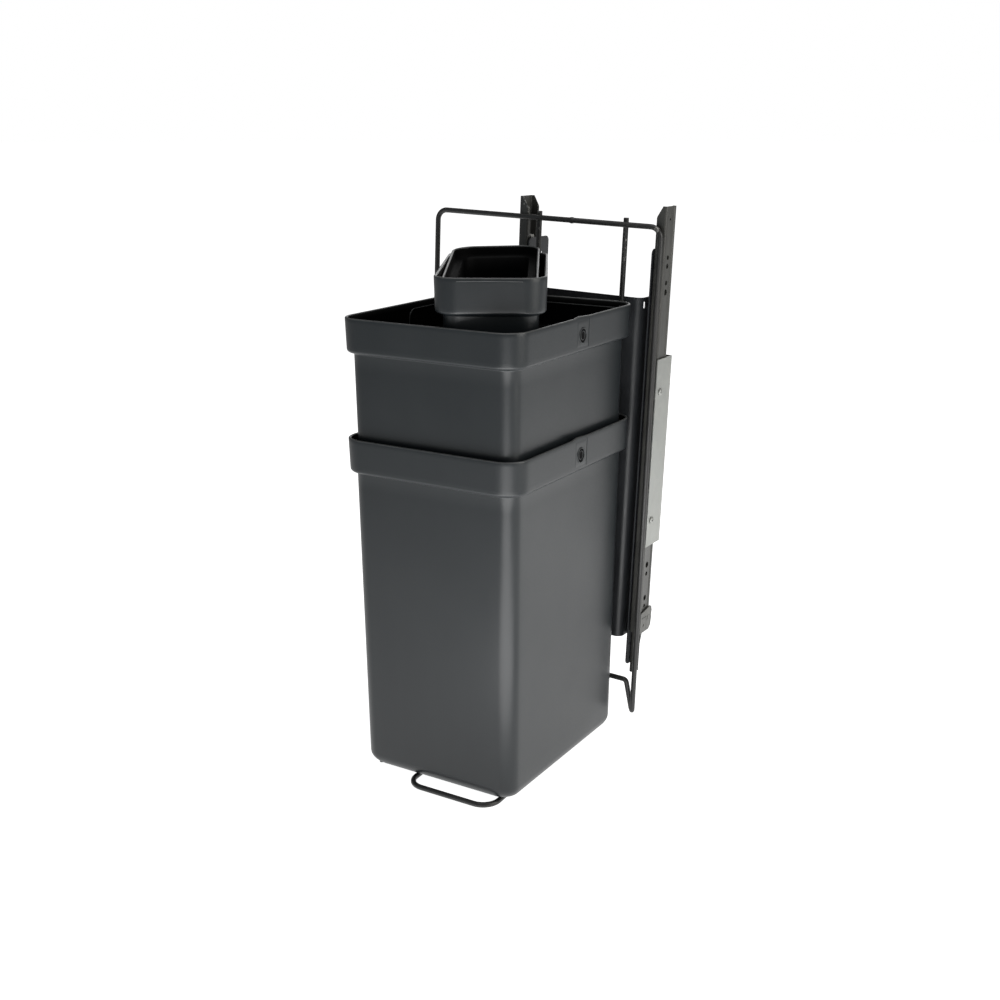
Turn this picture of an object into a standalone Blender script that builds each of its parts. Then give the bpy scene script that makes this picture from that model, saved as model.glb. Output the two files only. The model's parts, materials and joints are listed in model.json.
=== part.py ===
"""Pull-out waste sorting set: four nested bins standing on the wire hoop of an upended slide frame.

World frame: metres, +Z up, origin on the floor under the middle of the bounding box, bins facing -Y.
The slide frame is laid out in its own upright frame (u across, n towards the back, w along the
slides) and carried into the world by two empties that hold its small lean.
"""
import math

import bmesh
import bpy
from mathutils import Matrix, Vector

MM = 0.001
GAP = 0.3

# Middle of the bin stack on the floor
STACK = (23.7, -28.7)

# Large bins
LARGE = {
    "width": 215.0, "depth": 261.0, "height": 376.0, "collar": 36.5, "step": 8.5,
    "corner": 25.0, "wall": 1.2, "taper": 4.0, "foot_radius": 16.0, "base_wall": 1.8,
}
LARGE_NEST = 126.0
STUDS = ((-83.0, -103.5), (68.0, -102.5), (-80.0, 101.0), (77.0, 101.0))
STUD_RADIUS = 2.5
STUD_DROP = 1.5

# Small bins
SMALL = {
    "width": 111.0, "depth": 250.0, "height": 376.0, "collar": 36.5, "step": 8.5,
    "corner": 25.0, "wall": 1.5, "taper": 5.0, "foot_radius": 14.0, "base_wall": 2.0,
}
SMALL_TURN = 29.4
SMALL_RIM = 556.5
SMALL_SHIFT = (4.0, -1.5)

# Insert bin
INSERT = {
    "width": 97.0, "depth": 230.0, "height": 190.0, "collar": 14.0, "step": 11.0,
    "corner": 26.0, "wall": 1.4, "taper": 4.5, "foot_radius": 12.0, "base_wall": 1.8,
}
INSERT_TILT = 4.0
INSERT_ROLL = 1.4
INSERT_RIM = 556.3
INSERT_SHIFT = (-2.2, -1.2)

# Slide frame placing
PIVOT = (45.2, 105.8, 0.0)
LEAN_SIDE = 1.75
LEAN_BACK = 0.85

# Wires
WIRE = 3.0
RING_LEFT = -199.0
RING_RIGHT = 89.0
RING_SPLAY = 4.0
RING_TOP = 592.0
RING_BAR = 63.4
RING_FOOT = 28.6
RING_N = -6.0
HAIRPIN = 3.3
HAIRPIN_SPREAD = 10.5
HAIRPIN_TURN = (3.9, 5.3)
LEG_LEFT = -65.0
LEG_RIGHT = 44.0
LEG_TIP = 599.0
HOOP_HALF = 53.0
HOOP_FRONT = -156.2
HOOP_LEVEL = 2.86
FRONT_BEND = 19.0
BACK_BEND = 8.0

# Sheet parts
TRAY_LOW = 110.0
TRAY_HIGH = 513.0
TRAY_HALF = 67.0
SHEET = 1.5
CHEEK_LOW = 79.0
CHEEK_HIGH = 568.0
CHEEK_U = 77.0
CHEEK_DEPTH = 45.0
LIP_RIVET_N = 31.5

# Slide members
SLIDE_OUT = 92.0
SLIDE_DEPTH = 26.0
SLIDE_MID = SLIDE_DEPTH / 2
FLANGE = 12.0
OUTER_LOW = 122.5
OUTER_HIGH = 614.0
MIDDLE_LOW = 124.0
MIDDLE_HIGH = 589.0
INNER_LOW = 68.0
INNER_HIGH = 568.0
CAGE_LENGTH = 120.0
OUTER_CAGE_LOW = 293.5
INNER_CAGE_LOW = 268.5
PLATE_LOW = 229.0
PLATE_HIGH = 448.0
WEB_HOLES = (
    (153.5, 2.4), (163.5, 3.4), (193.5, 2.6), (204.5, 3.6),
    (521.0, 3.4), (531.5, 2.8), (549.5, 2.8), (559.0, 2.6), (600.0, 1.6),
)
SCREW_W = (260.0, 410.5)
SCREW_N = 9.5
RIVET_W = (150.0, 480.0)


# Scene helpers

def clear_scene():
    for obj in list(bpy.data.objects):
        bpy.data.objects.remove(obj, do_unlink=True)


def make_collection(name):
    coll = bpy.data.collections.new(name)
    bpy.context.scene.collection.children.link(coll)
    return coll


def material(name, colour, roughness, metallic):
    mat = bpy.data.materials.new(name)
    mat.use_nodes = True
    shader = mat.node_tree.nodes["Principled BSDF"]
    shader.inputs["Base Color"].default_value = (*colour, 1.0)
    shader.inputs["Roughness"].default_value = roughness
    shader.inputs["Metallic"].default_value = metallic
    mat.diffuse_color = (*colour, 1.0)
    return mat


def add_object(name, mesh, coll, mat=None, parent=None, smooth=False):
    obj = bpy.data.objects.new(name, mesh)
    coll.objects.link(obj)
    if mat is not None:
        mesh.materials.clear()
        mesh.materials.append(mat)
    for poly in mesh.polygons:
        poly.use_smooth = smooth
    obj.parent = parent
    return obj


def add_empty(name, coll, matrix):
    obj = bpy.data.objects.new(name, None)
    obj.empty_display_size = 0.03
    coll.objects.link(obj)
    obj.matrix_world = matrix
    return obj


def cutter(name, mesh, coll, parent=None):
    obj = add_object(name, mesh, coll, None, parent)
    obj.hide_render = True
    obj.display_type = "WIRE"
    return obj


def boolean(obj, tool, operation):
    mod = obj.modifiers.new(tool.name, "BOOLEAN")
    mod.operation = operation
    mod.solver = "EXACT"
    mod.object = tool


# Mesh builders

def rounded_loop(width, depth, radius, z, steps):
    """Counter-clockwise rounded rectangle at height z, all in millimetres."""
    points = []
    radius = max(min(radius, width / 2 - 0.5, depth / 2 - 0.5), 0.5)
    centres = ((1, 1, 0), (-1, 1, 90), (-1, -1, 180), (1, -1, 270))
    for sx, sy, start in centres:
        cx = sx * (width / 2 - radius)
        cy = sy * (depth / 2 - radius)
        for i in range(steps + 1):
            a = math.radians(start + 90.0 * i / steps)
            points.append(Vector((cx + radius * math.cos(a), cy + radius * math.sin(a), z)))
    return points


def loft(name, loops):
    """Closed body through loops of equal count, first and last capped."""
    bm = bmesh.new()
    rows = [[bm.verts.new(p * MM) for p in loop] for loop in loops]
    count = len(rows[0])
    for low, high in zip(rows, rows[1:]):
        for i in range(count):
            j = (i + 1) % count
            bm.faces.new((low[i], low[j], high[j], high[i]))
    bm.faces.new(list(reversed(rows[0])))
    bm.faces.new(rows[-1])
    bmesh.ops.recalc_face_normals(bm, faces=bm.faces)
    mesh = bpy.data.meshes.new(name)
    bm.to_mesh(mesh)
    bm.free()
    return mesh


def prism(name, outline, place, length):
    """Extrudes a flat (a, b) outline; place maps (a, b, t) to a point, t running 0 to length."""
    bm = bmesh.new()
    low = [bm.verts.new(Vector(place(a, b, 0.0)) * MM) for a, b in outline]
    high = [bm.verts.new(Vector(place(a, b, length)) * MM) for a, b in outline]
    count = len(outline)
    for i in range(count):
        j = (i + 1) % count
        bm.faces.new((low[i], low[j], high[j], high[i]))
    bm.faces.new(list(reversed(low)))
    bm.faces.new(high)
    bmesh.ops.recalc_face_normals(bm, faces=bm.faces)
    mesh = bpy.data.meshes.new(name)
    bm.to_mesh(mesh)
    bm.free()
    return mesh


def box(name, low, high):
    """Box between two corners in millimetres."""
    bm = bmesh.new()
    bmesh.ops.create_cube(bm, size=1.0)
    size = [(h - l) * MM for l, h in zip(low, high)]
    centre = [(h + l) * MM / 2 for l, h in zip(low, high)]
    bmesh.ops.scale(bm, vec=size, verts=bm.verts)
    bmesh.ops.translate(bm, vec=centre, verts=bm.verts)
    mesh = bpy.data.meshes.new(name)
    bm.to_mesh(mesh)
    bm.free()
    return mesh


def rod_u(name, centre, radius, half, sides=16):
    """Cylinder along the u axis, centred at a point in millimetres."""
    bm = bmesh.new()
    turn = Matrix.Rotation(math.pi / 2, 4, "Y")
    shift = Matrix.Translation(Vector(centre) * MM)
    bmesh.ops.create_cone(
        bm, cap_ends=True, segments=sides, radius1=radius * MM, radius2=radius * MM,
        depth=2 * half * MM, matrix=shift @ turn)
    mesh = bpy.data.meshes.new(name)
    bm.to_mesh(mesh)
    bm.free()
    return mesh


def rounded_path(corners, radii, closed=False, steps=8):
    """Polyline through corners with each corner replaced by an arc of the given radius."""
    points = []
    count = len(corners)
    for i, corner in enumerate(corners):
        radius = radii[i]
        if radius <= 0.0 or (not closed and i in (0, count - 1)):
            points.append(corner.copy())
            continue
        back = (corners[i - 1] - corner).normalized()
        ahead = (corners[(i + 1) % count] - corner).normalized()
        half = back.angle(ahead) / 2
        reach = radius / math.tan(half)
        centre = corner + (back + ahead).normalized() * (radius / math.sin(half))
        start = corner + back * reach - centre
        end = corner + ahead * reach - centre
        swing = start.angle(end)
        for k in range(steps + 1):
            t = k / steps
            a = math.sin((1 - t) * swing) / math.sin(swing)
            b = math.sin(t * swing) / math.sin(swing)
            points.append(centre + start * a + end * b)
    return points


def wire(name, points, radius, coll, closed=False, swell=None, resolution=2):
    """Round wire along a polyline, returned as a mesh; swell gives radius factors by point."""
    data = bpy.data.curves.new(name, "CURVE")
    data.dimensions = "3D"
    data.bevel_depth = radius * MM
    data.bevel_resolution = resolution
    data.use_fill_caps = True
    spline = data.splines.new("POLY")
    spline.points.add(len(points) - 1)
    for i, p in enumerate(points):
        spline.points[i].co = (*(p * MM), 1.0)
        spline.points[i].radius = 1.0 if swell is None else swell[i]
    spline.use_cyclic_u = closed
    holder = bpy.data.objects.new(name + "_curve", data)
    coll.objects.link(holder)
    bpy.context.view_layer.update()
    graph = bpy.context.evaluated_depsgraph_get()
    mesh = bpy.data.meshes.new_from_object(holder.evaluated_get(graph))
    bpy.data.objects.remove(holder, do_unlink=True)
    bm = bmesh.new()
    bm.from_mesh(mesh)
    bmesh.ops.remove_doubles(bm, verts=bm.verts, dist=0.00001)
    bmesh.ops.recalc_face_normals(bm, faces=bm.faces)
    bm.to_mesh(mesh)
    bm.free()
    mesh.name = name
    return mesh


def sheet_outline(points, radii, thickness):
    """Closed outline of a bent sheet whose middle line follows the rounded points."""
    line = rounded_path([Vector((a, b, 0.0)) for a, b in points], radii, steps=4)
    left = []
    right = []
    for i, p in enumerate(line):
        before = line[max(i - 1, 0)]
        after = line[min(i + 1, len(line) - 1)]
        along = (after - before).normalized()
        side = Vector((-along.y, along.x, 0.0)) * (thickness / 2)
        left.append((p + side).to_2d()[:])
        right.append((p - side).to_2d()[:])
    return left + list(reversed(right))


# Bins

def bin_loops(size, steps=7):
    """Outer wall from the floor up, over the rim and down the inside to the inner floor."""
    width = size["width"]
    depth = size["depth"]
    height = size["height"]
    step = size["step"]
    taper = size["taper"]
    wall = size["wall"]
    foot = size["foot_radius"]
    corner = size["corner"]
    shoulder = height - size["collar"]
    inner_corner = corner - step

    def body(z, inset):
        share = 1.0 - z / shoulder
        cut = 2 * (step + taper * share + inset)
        return (width - cut, depth - cut, inner_corner - inset * 0.5)

    loops = []
    for a in (90.0, 68.0, 45.0, 22.0, 0.0):
        rise = foot * (1 - math.sin(math.radians(a)))
        draw = foot * (1 - math.cos(math.radians(a)))
        w, d, r = body(rise, 0.0)
        loops.append(rounded_loop(w - 2 * draw, d - 2 * draw, max(r, 14.0), rise, steps))
    w, d, r = body(shoulder - 2.0, 0.0)
    loops.append(rounded_loop(w, d, r, shoulder - 2.0, steps))
    loops.append(rounded_loop(w + 1.2, d + 1.2, r + 0.6, shoulder, steps))
    loops.append(rounded_loop(width - 7.0, depth - 7.0, corner - 3.5, shoulder, steps))
    loops.append(rounded_loop(width - 2.2, depth - 2.2, corner - 1.1, shoulder + 2.0, steps))
    loops.append(rounded_loop(width - 0.8, depth - 0.8, corner - 0.4, shoulder + 5.0, steps))
    loops.append(rounded_loop(width, depth, corner, height - 1.2, steps))
    loops.append(rounded_loop(width - 0.5, depth - 0.5, corner, height - 0.3, steps))
    loops.append(rounded_loop(width - 1.4, depth - 1.4, corner - 0.6, height, steps))
    loops.append(rounded_loop(width - 2.6, depth - 2.6, corner - 1.2, height - 0.3, steps))
    loops.append(rounded_loop(width - 3.0, depth - 3.0, corner - 1.5, height - 1.2, steps))
    loops.append(rounded_loop(width - 4.0, depth - 4.0, corner - 2.0, shoulder + 5.0, steps))
    loops.append(rounded_loop(width - 8.0, depth - 8.0, corner - 4.0, shoulder + wall + 0.6, steps))
    w, d, r = body(shoulder, wall)
    loops.append(rounded_loop(w + 1.2, d + 1.2, r + 0.6, shoulder + wall, steps))
    w, d, r = body(shoulder - 2.0, wall)
    loops.append(rounded_loop(w, d, r, shoulder - 2.0, steps))
    floor = size["base_wall"]
    inside = foot - wall
    for a in (0.0, 30.0, 60.0, 90.0):
        rise = inside * (1 - math.sin(math.radians(a)))
        draw = inside * (1 - math.cos(math.radians(a)))
        w, d, r = body(rise + floor, wall)
        loops.append(rounded_loop(w - 2 * draw, d - 2 * draw, max(r, 13.0), rise + floor, steps))
    return loops


def build_bin(name, size, matrix, coll, mat):
    obj = add_object(name, loft(name, bin_loops(size)), coll, mat, smooth=True)
    obj.matrix_world = matrix
    return obj


def lift(height):
    """Placing over the middle of the bin stack at a height in millimetres."""
    return Matrix.Translation((STACK[0] * MM, STACK[1] * MM, height * MM))


def build_large_bin(name, height, coll, tools, mat):
    """Large bin with four small studs moulded under its floor."""
    place = lift(height)
    obj = build_bin(name, LARGE, place, coll, mat)
    for index, (x, y) in enumerate(STUDS):
        rings = []
        levels = ((-STUD_DROP, STUD_RADIUS - 0.6), (-STUD_DROP + 0.6, STUD_RADIUS), (2.4, STUD_RADIUS))
        for z, radius in levels:
            turns = [2 * math.pi * k / 12 for k in range(12)]
            rings.append([Vector((x + radius * math.cos(a), y + radius * math.sin(a), z)) for a in turns])
        stud = cutter(f"add_{name}_stud_{index}", loft(f"{name}_stud_{index}", rings), tools)
        stud.matrix_world = place
        boolean(obj, stud, "UNION")
    return obj


def build_bins(coll, tools, mats):
    base = 2 * WIRE + GAP
    build_large_bin("large_bin_lower", base, coll, tools, mats["bin"])
    build_large_bin("large_bin_upper", base + LARGE_NEST, coll, tools, mats["bin"])
    aside = Matrix.Translation((SMALL_SHIFT[0] * MM, SMALL_SHIFT[1] * MM, 0.0))
    turn = aside @ Matrix.Rotation(math.radians(SMALL_TURN), 4, "Z")
    stand = lift(SMALL_RIM - SMALL["height"])
    build_bin("small_bin", SMALL, stand @ turn, coll, mats["bin"])
    place = lift(INSERT_RIM) @ turn
    place = place @ Matrix.Translation((INSERT_SHIFT[0] * MM, INSERT_SHIFT[1] * MM, 0.0))
    place = place @ Matrix.Rotation(math.radians(-INSERT_ROLL), 4, "Y")
    place = place @ Matrix.Rotation(math.radians(INSERT_TILT), 4, "X")
    place = place @ Matrix.Translation((0.0, 0.0, -INSERT["height"] * MM))
    build_bin("insert_bin", INSERT, place, coll, mats["bin"])


# Wire parts

def build_railing(coll, parent, mat):
    """Closed wire railing: long legs, plain bar on top, hairpin feet and low cross bar."""
    left, right = RING_LEFT, RING_RIGHT
    splay = right + RING_SPLAY
    low = RING_FOOT - HAIRPIN
    turned = RING_N + HAIRPIN_TURN[1]
    across = HAIRPIN_TURN[0]
    corners = [
        (splay - HAIRPIN_SPREAD, RING_N, RING_BAR), (splay - across, turned, low),
        (splay, RING_N, low), (right, RING_N, RING_TOP), (left, RING_N, RING_TOP),
        (left, RING_N, low), (left + across, turned, low), (left + HAIRPIN_SPREAD, RING_N, RING_BAR),
    ]
    radii = [5.0, 3.1, 3.1, 12.0, 12.0, 3.1, 3.1, 5.0]
    path = rounded_path([Vector(c) for c in corners], radii, closed=True, steps=7)
    at = next(i for i, p in enumerate(path) if p.z > RING_TOP - 0.01)
    weld = [Vector((-20.0 + d, RING_N, RING_TOP)) for d in (3.0, 1.2, 0.0, -1.2, -3.0)]
    path = path[:at + 1] + weld + path[at + 1:]
    swell = [1.0] * len(path)
    for k, factor in enumerate((1.0, 1.12, 1.18, 1.12, 1.0)):
        swell[at + 1 + k] = factor
    mesh = wire("wire_railing", path, WIRE, coll, closed=True, swell=swell)
    return add_object("wire_railing", mesh, coll, mat, parent, smooth=True)


def build_hoop(coll, lean, mat):
    """Long wire: two uprights behind the bins, bent forward on the floor into a hoop."""
    back = PIVOT[1] + 0.3
    level = HOOP_LEVEL
    tops = [lean @ (Vector((u, 0.3, LEG_TIP)) * MM) / MM for u in (LEG_LEFT, LEG_RIGHT)]
    left = PIVOT[0] - HOOP_HALF
    right = PIVOT[0] + HOOP_HALF
    corners = [
        tops[0], Vector((PIVOT[0] + LEG_LEFT, back, level)), Vector((left, HOOP_FRONT, level)),
        Vector((right, HOOP_FRONT, level)), Vector((PIVOT[0] + LEG_RIGHT, back, level)), tops[1],
    ]
    path = rounded_path(corners, [0.0, BACK_BEND, FRONT_BEND, FRONT_BEND, BACK_BEND, 0.0])
    mesh = wire("hoop_wire", path, WIRE, coll)
    return add_object("hoop_wire", mesh, coll, mat, smooth=True)


# Sheet parts

def build_tray(coll, tools, parent, mat):
    """Hat-shaped base tray between the cheeks."""
    mid = SHEET / 2
    front = 3.7 + mid
    wall_u = TRAY_HALF - mid
    lip_u = CHEEK_U - GAP - mid
    points = [
        (-lip_u, 40.0), (-lip_u, 25.0), (-wall_u, 25.0), (-wall_u, front),
        (wall_u, front), (wall_u, 25.0), (lip_u, 25.0), (lip_u, 40.0),
    ]
    radii = [0.0, 2.0, 2.0, 8.0, 8.0, 2.0, 2.0, 0.0]
    outline = sheet_outline(points, radii, SHEET)
    length = TRAY_HIGH - TRAY_LOW
    mesh = prism("base_tray", outline, lambda a, b, t: (a, b, t + TRAY_LOW), length)
    obj = add_object("base_tray", mesh, coll, mat, parent)
    slot = box("cut_tray_slot", (-90.0, 10.4, 501.0), (90.0, 15.0, 508.2))
    boolean(obj, cutter("cut_tray_slot", slot, tools, parent), "DIFFERENCE")
    for index, w in enumerate(RIVET_W):
        for side in (-1, 1):
            name = f"cut_lip_{index}_{side + 1}"
            hole = rod_u(name, (side * lip_u, LIP_RIVET_N, w), 2.0 + GAP, 3.0)
            boolean(obj, cutter(name, hole, tools, parent), "DIFFERENCE")
    return obj


def cheek_outline():
    """Plate outline in (n, w): rounded corners and a long chamfer at the low back corner."""
    corners = [
        (0.0, CHEEK_LOW), (30.0, CHEEK_LOW), (CHEEK_DEPTH, CHEEK_LOW + 46.0),
        (CHEEK_DEPTH, CHEEK_HIGH), (0.0, CHEEK_HIGH),
    ]
    line = [Vector((n, w, 0.0)) for n, w in corners]
    line = rounded_path(line, [6.0, 5.0, 8.0, 6.0, 6.0], closed=True, steps=4)
    return [(p.x, p.y) for p in line]


def build_cheek(side, label, coll, tools, parent, mat):
    """Side plate screwed to the inner slide member."""
    name = f"{label}_cheek_plate"
    start = side * CHEEK_U
    mesh = prism(name, cheek_outline(), lambda a, b, t: (start + side * t, a, b), SHEET)
    obj = add_object(name, mesh, coll, mat, parent)
    holes = [(30.5, 549.0, 2.2), (4.6, 105.0, 1.5)]
    holes += [(LIP_RIVET_N, w, 2.0 + GAP) for w in RIVET_W]
    holes += [(SLIDE_MID, w + 30.0, 2.0 + GAP) for w in RIVET_W]
    for index, (n, w, radius) in enumerate(holes):
        cut_name = f"cut_{label}_cheek_{index}"
        hole = rod_u(cut_name, (start + side * 0.7, n, w), radius, 3.0)
        boolean(obj, cutter(cut_name, hole, tools, parent), "DIFFERENCE")
    return obj


def build_rivet(name, inner, outer, n, w, side, coll, parent, mat):
    """Rivet along u: shank between two heads, turned profile closed on its axis."""
    head = 1.3
    profile = [
        (0.0, inner - head), (2.6, inner - head), (3.6, inner - 0.5), (3.6, inner),
        (2.0, inner), (2.0, outer), (3.2, outer), (3.2, outer + 0.5), (2.2, outer + 0.9),
        (0.0, outer + 0.9),
    ]
    bm = bmesh.new()
    sides = 16
    ends = []
    rows = []
    for radius, u in profile:
        if radius == 0.0:
            ends.append(bm.verts.new(Vector((side * u, n, w)) * MM))
            continue
        ring = []
        for k in range(sides):
            a = 2 * math.pi * k / sides
            p = Vector((side * u, n + radius * math.cos(a), w + radius * math.sin(a)))
            ring.append(bm.verts.new(p * MM))
        rows.append(ring)
    for low, high in zip(rows, rows[1:]):
        for k in range(sides):
            j = (k + 1) % sides
            bm.faces.new((low[k], low[j], high[j], high[k]))
    for k in range(sides):
        j = (k + 1) % sides
        bm.faces.new((ends[0], rows[0][j], rows[0][k]))
        bm.faces.new((ends[1], rows[-1][k], rows[-1][j]))
    bmesh.ops.recalc_face_normals(bm, faces=bm.faces)
    mesh = bpy.data.meshes.new(name)
    bm.to_mesh(mesh)
    bm.free()
    return add_object(name, mesh, coll, mat, parent, smooth=False)


# Slide members

def channel_outline(back, front, low, high, thickness, lip):
    """C section in (distance along u, n): web at back, flanges reaching to front."""
    outline = [
        (front, low + thickness + lip), (front, low), (back, low), (back, high),
        (front, high), (front, high - thickness - lip),
    ]
    inside = [
        (front + thickness, high - thickness - lip), (front + thickness, high - thickness),
        (back - thickness, high - thickness), (back - thickness, low + thickness),
        (front + thickness, low + thickness), (front + thickness, low + thickness + lip),
    ]
    return outline + inside


def plain_channel(back, front, low, high, thickness):
    """U section in (distance along u, n) with plain flanges."""
    sign = 1.0 if back > front else -1.0
    return [
        (front, low), (back, low), (back, high), (front, high), (front, high - thickness),
        (back - sign * thickness, high - thickness), (back - sign * thickness, low + thickness),
        (front, low + thickness),
    ]


def member(name, outline, side, low, length, coll, parent, mat):
    mesh = prism(name, outline, lambda a, b, t: (side * a, b, low + t), length)
    return add_object(name, mesh, coll, mat, parent)


def build_outer(side, label, coll, tools, parent, mat):
    """Outer member with rolled flanges, their top corners cut back, and screw holes."""
    edge = SLIDE_OUT - FLANGE
    outline = channel_outline(SLIDE_OUT, edge, 0.0, SLIDE_DEPTH, 1.2, 3.0)
    name = f"{label}_outer_member"
    obj = member(name, outline, side, OUTER_LOW, OUTER_HIGH - OUTER_LOW, coll, parent, mat)
    top = OUTER_HIGH
    corner = [
        (edge - 2.0, top - 16.0), (edge, top - 13.0), (edge + 8.0, top + 1.0), (edge - 2.0, top + 1.0),
    ]
    mesh = prism(f"cut_{label}_nose", corner, lambda a, b, t: (side * a, t - 4.0, b), SLIDE_DEPTH + 8.0)
    boolean(obj, cutter(f"cut_{label}_nose", mesh, tools, parent), "DIFFERENCE")
    for index, (w, radius) in enumerate(WEB_HOLES):
        cut_name = f"cut_{label}_web_{index}"
        hole = rod_u(cut_name, (side * (SLIDE_OUT - 0.6), SLIDE_MID - 1.0, w), radius, 2.0, 12)
        boolean(obj, cutter(cut_name, hole, tools, parent), "DIFFERENCE")
    for index, w in enumerate(SCREW_W):
        cut_name = f"cut_{label}_screw_{index}"
        hole = rod_u(cut_name, (side * (SLIDE_OUT - 0.6), SCREW_N, w), 2.0 + GAP, 2.0, 12)
        boolean(obj, cutter(cut_name, hole, tools, parent), "DIFFERENCE")
    return obj


def build_middle(side, label, coll, parent, mat):
    outline = plain_channel(89.2, 80.6, 4.6, SLIDE_DEPTH - 4.6, 1.2)
    name = f"{label}_middle_member"
    return member(name, outline, side, MIDDLE_LOW, MIDDLE_HIGH - MIDDLE_LOW, coll, parent, mat)


def build_inner(side, label, coll, tools, parent, mat):
    outline = plain_channel(78.9, 86.3, SLIDE_MID - 5.0, SLIDE_MID + 5.0, 1.2)
    name = f"{label}_inner_member"
    obj = member(name, outline, side, INNER_LOW, INNER_HIGH - INNER_LOW, coll, parent, mat)
    for index, w in enumerate(RIVET_W):
        cut_name = f"cut_{label}_inner_{index}"
        hole = rod_u(cut_name, (side * 79.5, SLIDE_MID, w + 30.0), 2.0 + GAP, 2.0)
        boolean(obj, cutter(cut_name, hole, tools, parent), "DIFFERENCE")
    return obj


def build_cages(side, label, coll, parent, mat):
    """Ball cages: one between outer and middle member, one between middle and inner member."""
    outline = plain_channel(90.2, 84.4, 1.6, SLIDE_DEPTH - 1.6, 0.6)
    name = f"{label}_outer_ball_cage"
    member(name, outline, side, OUTER_CAGE_LOW, CAGE_LENGTH, coll, parent, mat)
    outline = plain_channel(87.6, 81.0, 6.3, SLIDE_DEPTH - 6.3, 0.6)
    name = f"{label}_inner_ball_cage"
    member(name, outline, side, INNER_CAGE_LOW, CAGE_LENGTH, coll, parent, mat)


def build_bumper(side, label, coll, parent, mat):
    """Plastic end stop clipped in the top of the inner member."""
    low = (side * 80.5, SLIDE_MID - 3.4, 551.0)
    high = (side * 86.0, SLIDE_MID + 3.4, 571.0)
    corners = [tuple(sorted(pair)) for pair in zip(low, high)]
    mesh = box(f"{label}_end_stop", [c[0] for c in corners], [c[1] for c in corners])
    return add_object(f"{label}_end_stop", mesh, coll, mat, parent)


def build_latch(side, label, coll, parent, mat):
    """Stamped end hook on the foot of the outer member."""
    base = OUTER_LOW
    back = SLIDE_DEPTH
    outline = [
        (-0.5, base - 1.0), (back - 3.0, base - 1.0), (back + 1.5, base + 3.0),
        (back + 3.0, base + 12.0), (back + 2.4, base + 16.0), (back + 3.4, base + 21.0),
        (back + 1.6, base + 26.0), (back - 1.0, base + 28.0), (-0.5, base + 24.0),
    ]
    start = side * (SLIDE_OUT + GAP)
    name = f"{label}_end_hook"
    mesh = prism(name, outline, lambda a, b, t: (start + side * t, a, b), 1.4)
    return add_object(name, mesh, coll, mat, parent)


def build_mount_plate(side, label, coll, tools, parent, mat):
    """Galvanised angle on the outer member, its foot flange turned in behind the slide."""
    web = SLIDE_OUT + GAP + SHEET / 2
    points = [(web, -1.0), (web, 37.25), (79.4, 37.25)]
    outline = sheet_outline(points, [0.0, 2.0, 0.0], SHEET)
    name = f"{label}_mounting_plate"
    length = PLATE_HIGH - PLATE_LOW
    mesh = prism(name, outline, lambda a, b, t: (side * a, b, t + PLATE_LOW), length)
    obj = add_object(name, mesh, coll, mat, parent)
    for index, w in enumerate(SCREW_W):
        cut_name = f"cut_{label}_plate_{index}"
        hole = rod_u(cut_name, (side * web, SCREW_N, w), 2.0 + GAP, 3.0, 12)
        boolean(obj, cutter(cut_name, hole, tools, parent), "DIFFERENCE")
    for index, w in enumerate((PLATE_LOW + 25.0, PLATE_HIGH - 25.0)):
        cut_name = f"cut_{label}_foot_{index}"
        low = sorted((side * 83.0, side * 88.0))
        slot = box(cut_name, (low[0], 30.0, w - 2.4), (low[1], 44.0, w + 2.4))
        boolean(obj, cutter(cut_name, slot, tools, parent), "DIFFERENCE")
    return obj


def build_slide(side, label, coll, tools, lean, mats):
    build_cheek(side, label, coll, tools, lean, mats["sheet"])
    build_inner(side, label, coll, tools, lean, mats["slide"])
    build_middle(side, label, coll, lean, mats["slide"])
    build_cages(side, label, coll, lean, mats["cage"])
    build_outer(side, label, coll, tools, lean, mats["slide"])
    build_latch(side, label, coll, lean, mats["slide"])
    build_bumper(side, label, coll, lean, mats["stop"])
    build_mount_plate(side, label, coll, tools, lean, mats["zinc"])
    lip = CHEEK_U - GAP - SHEET
    for index, w in enumerate(RIVET_W):
        name = f"{label}_tray_rivet_{index + 1}"
        build_rivet(name, lip - GAP, CHEEK_U + SHEET + GAP, LIP_RIVET_N, w, side, coll, lean, mats["rivet"])
        name = f"{label}_slide_rivet_{index + 1}"
        build_rivet(name, CHEEK_U - GAP, 80.1 + GAP, SLIDE_MID, w + 30.0, side, coll, lean, mats["rivet"])
    for index, w in enumerate(SCREW_W):
        build_screw(f"{label}_plate_screw_{index + 1}", side, w, coll, lean, mats["zinc"])


def build_screw(name, side, w, coll, parent, mat):
    """Short screw along u with its pan head on the outside of the mounting plate."""
    outer = SLIDE_OUT + GAP + SHEET + GAP
    profile = [
        (SLIDE_OUT - 1.2, 2.0), (outer, 2.0), (outer, 4.0), (outer + 0.9, 4.0),
        (outer + 1.7, 3.0),
    ]
    loops = []
    for u, radius in profile:
        ring = []
        for k in range(16):
            a = 2 * math.pi * k / 16
            across_n = SCREW_N + radius * math.cos(a)
            ring.append(Vector((side * u, across_n, w + radius * math.sin(a))))
        loops.append(ring)
    return add_object(name, loft(name, loops), coll, mat, parent)


def build_frame(coll, tools, mats):
    tilt = Matrix.Rotation(math.radians(-LEAN_BACK), 4, "X")
    tilt = tilt @ Matrix.Rotation(math.radians(LEAN_SIDE), 4, "Y")
    place = Matrix.Translation(Vector(PIVOT) * MM) @ tilt
    lean = add_empty("slide_axis", coll, place)
    bpy.context.view_layer.update()
    build_railing(coll, lean, mats["wire"])
    build_hoop(coll, place, mats["wire"])
    build_tray(coll, tools, lean, mats["sheet"])
    build_slide(-1, "left", coll, tools, lean, mats)
    build_slide(1, "right", coll, tools, lean, mats)


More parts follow.
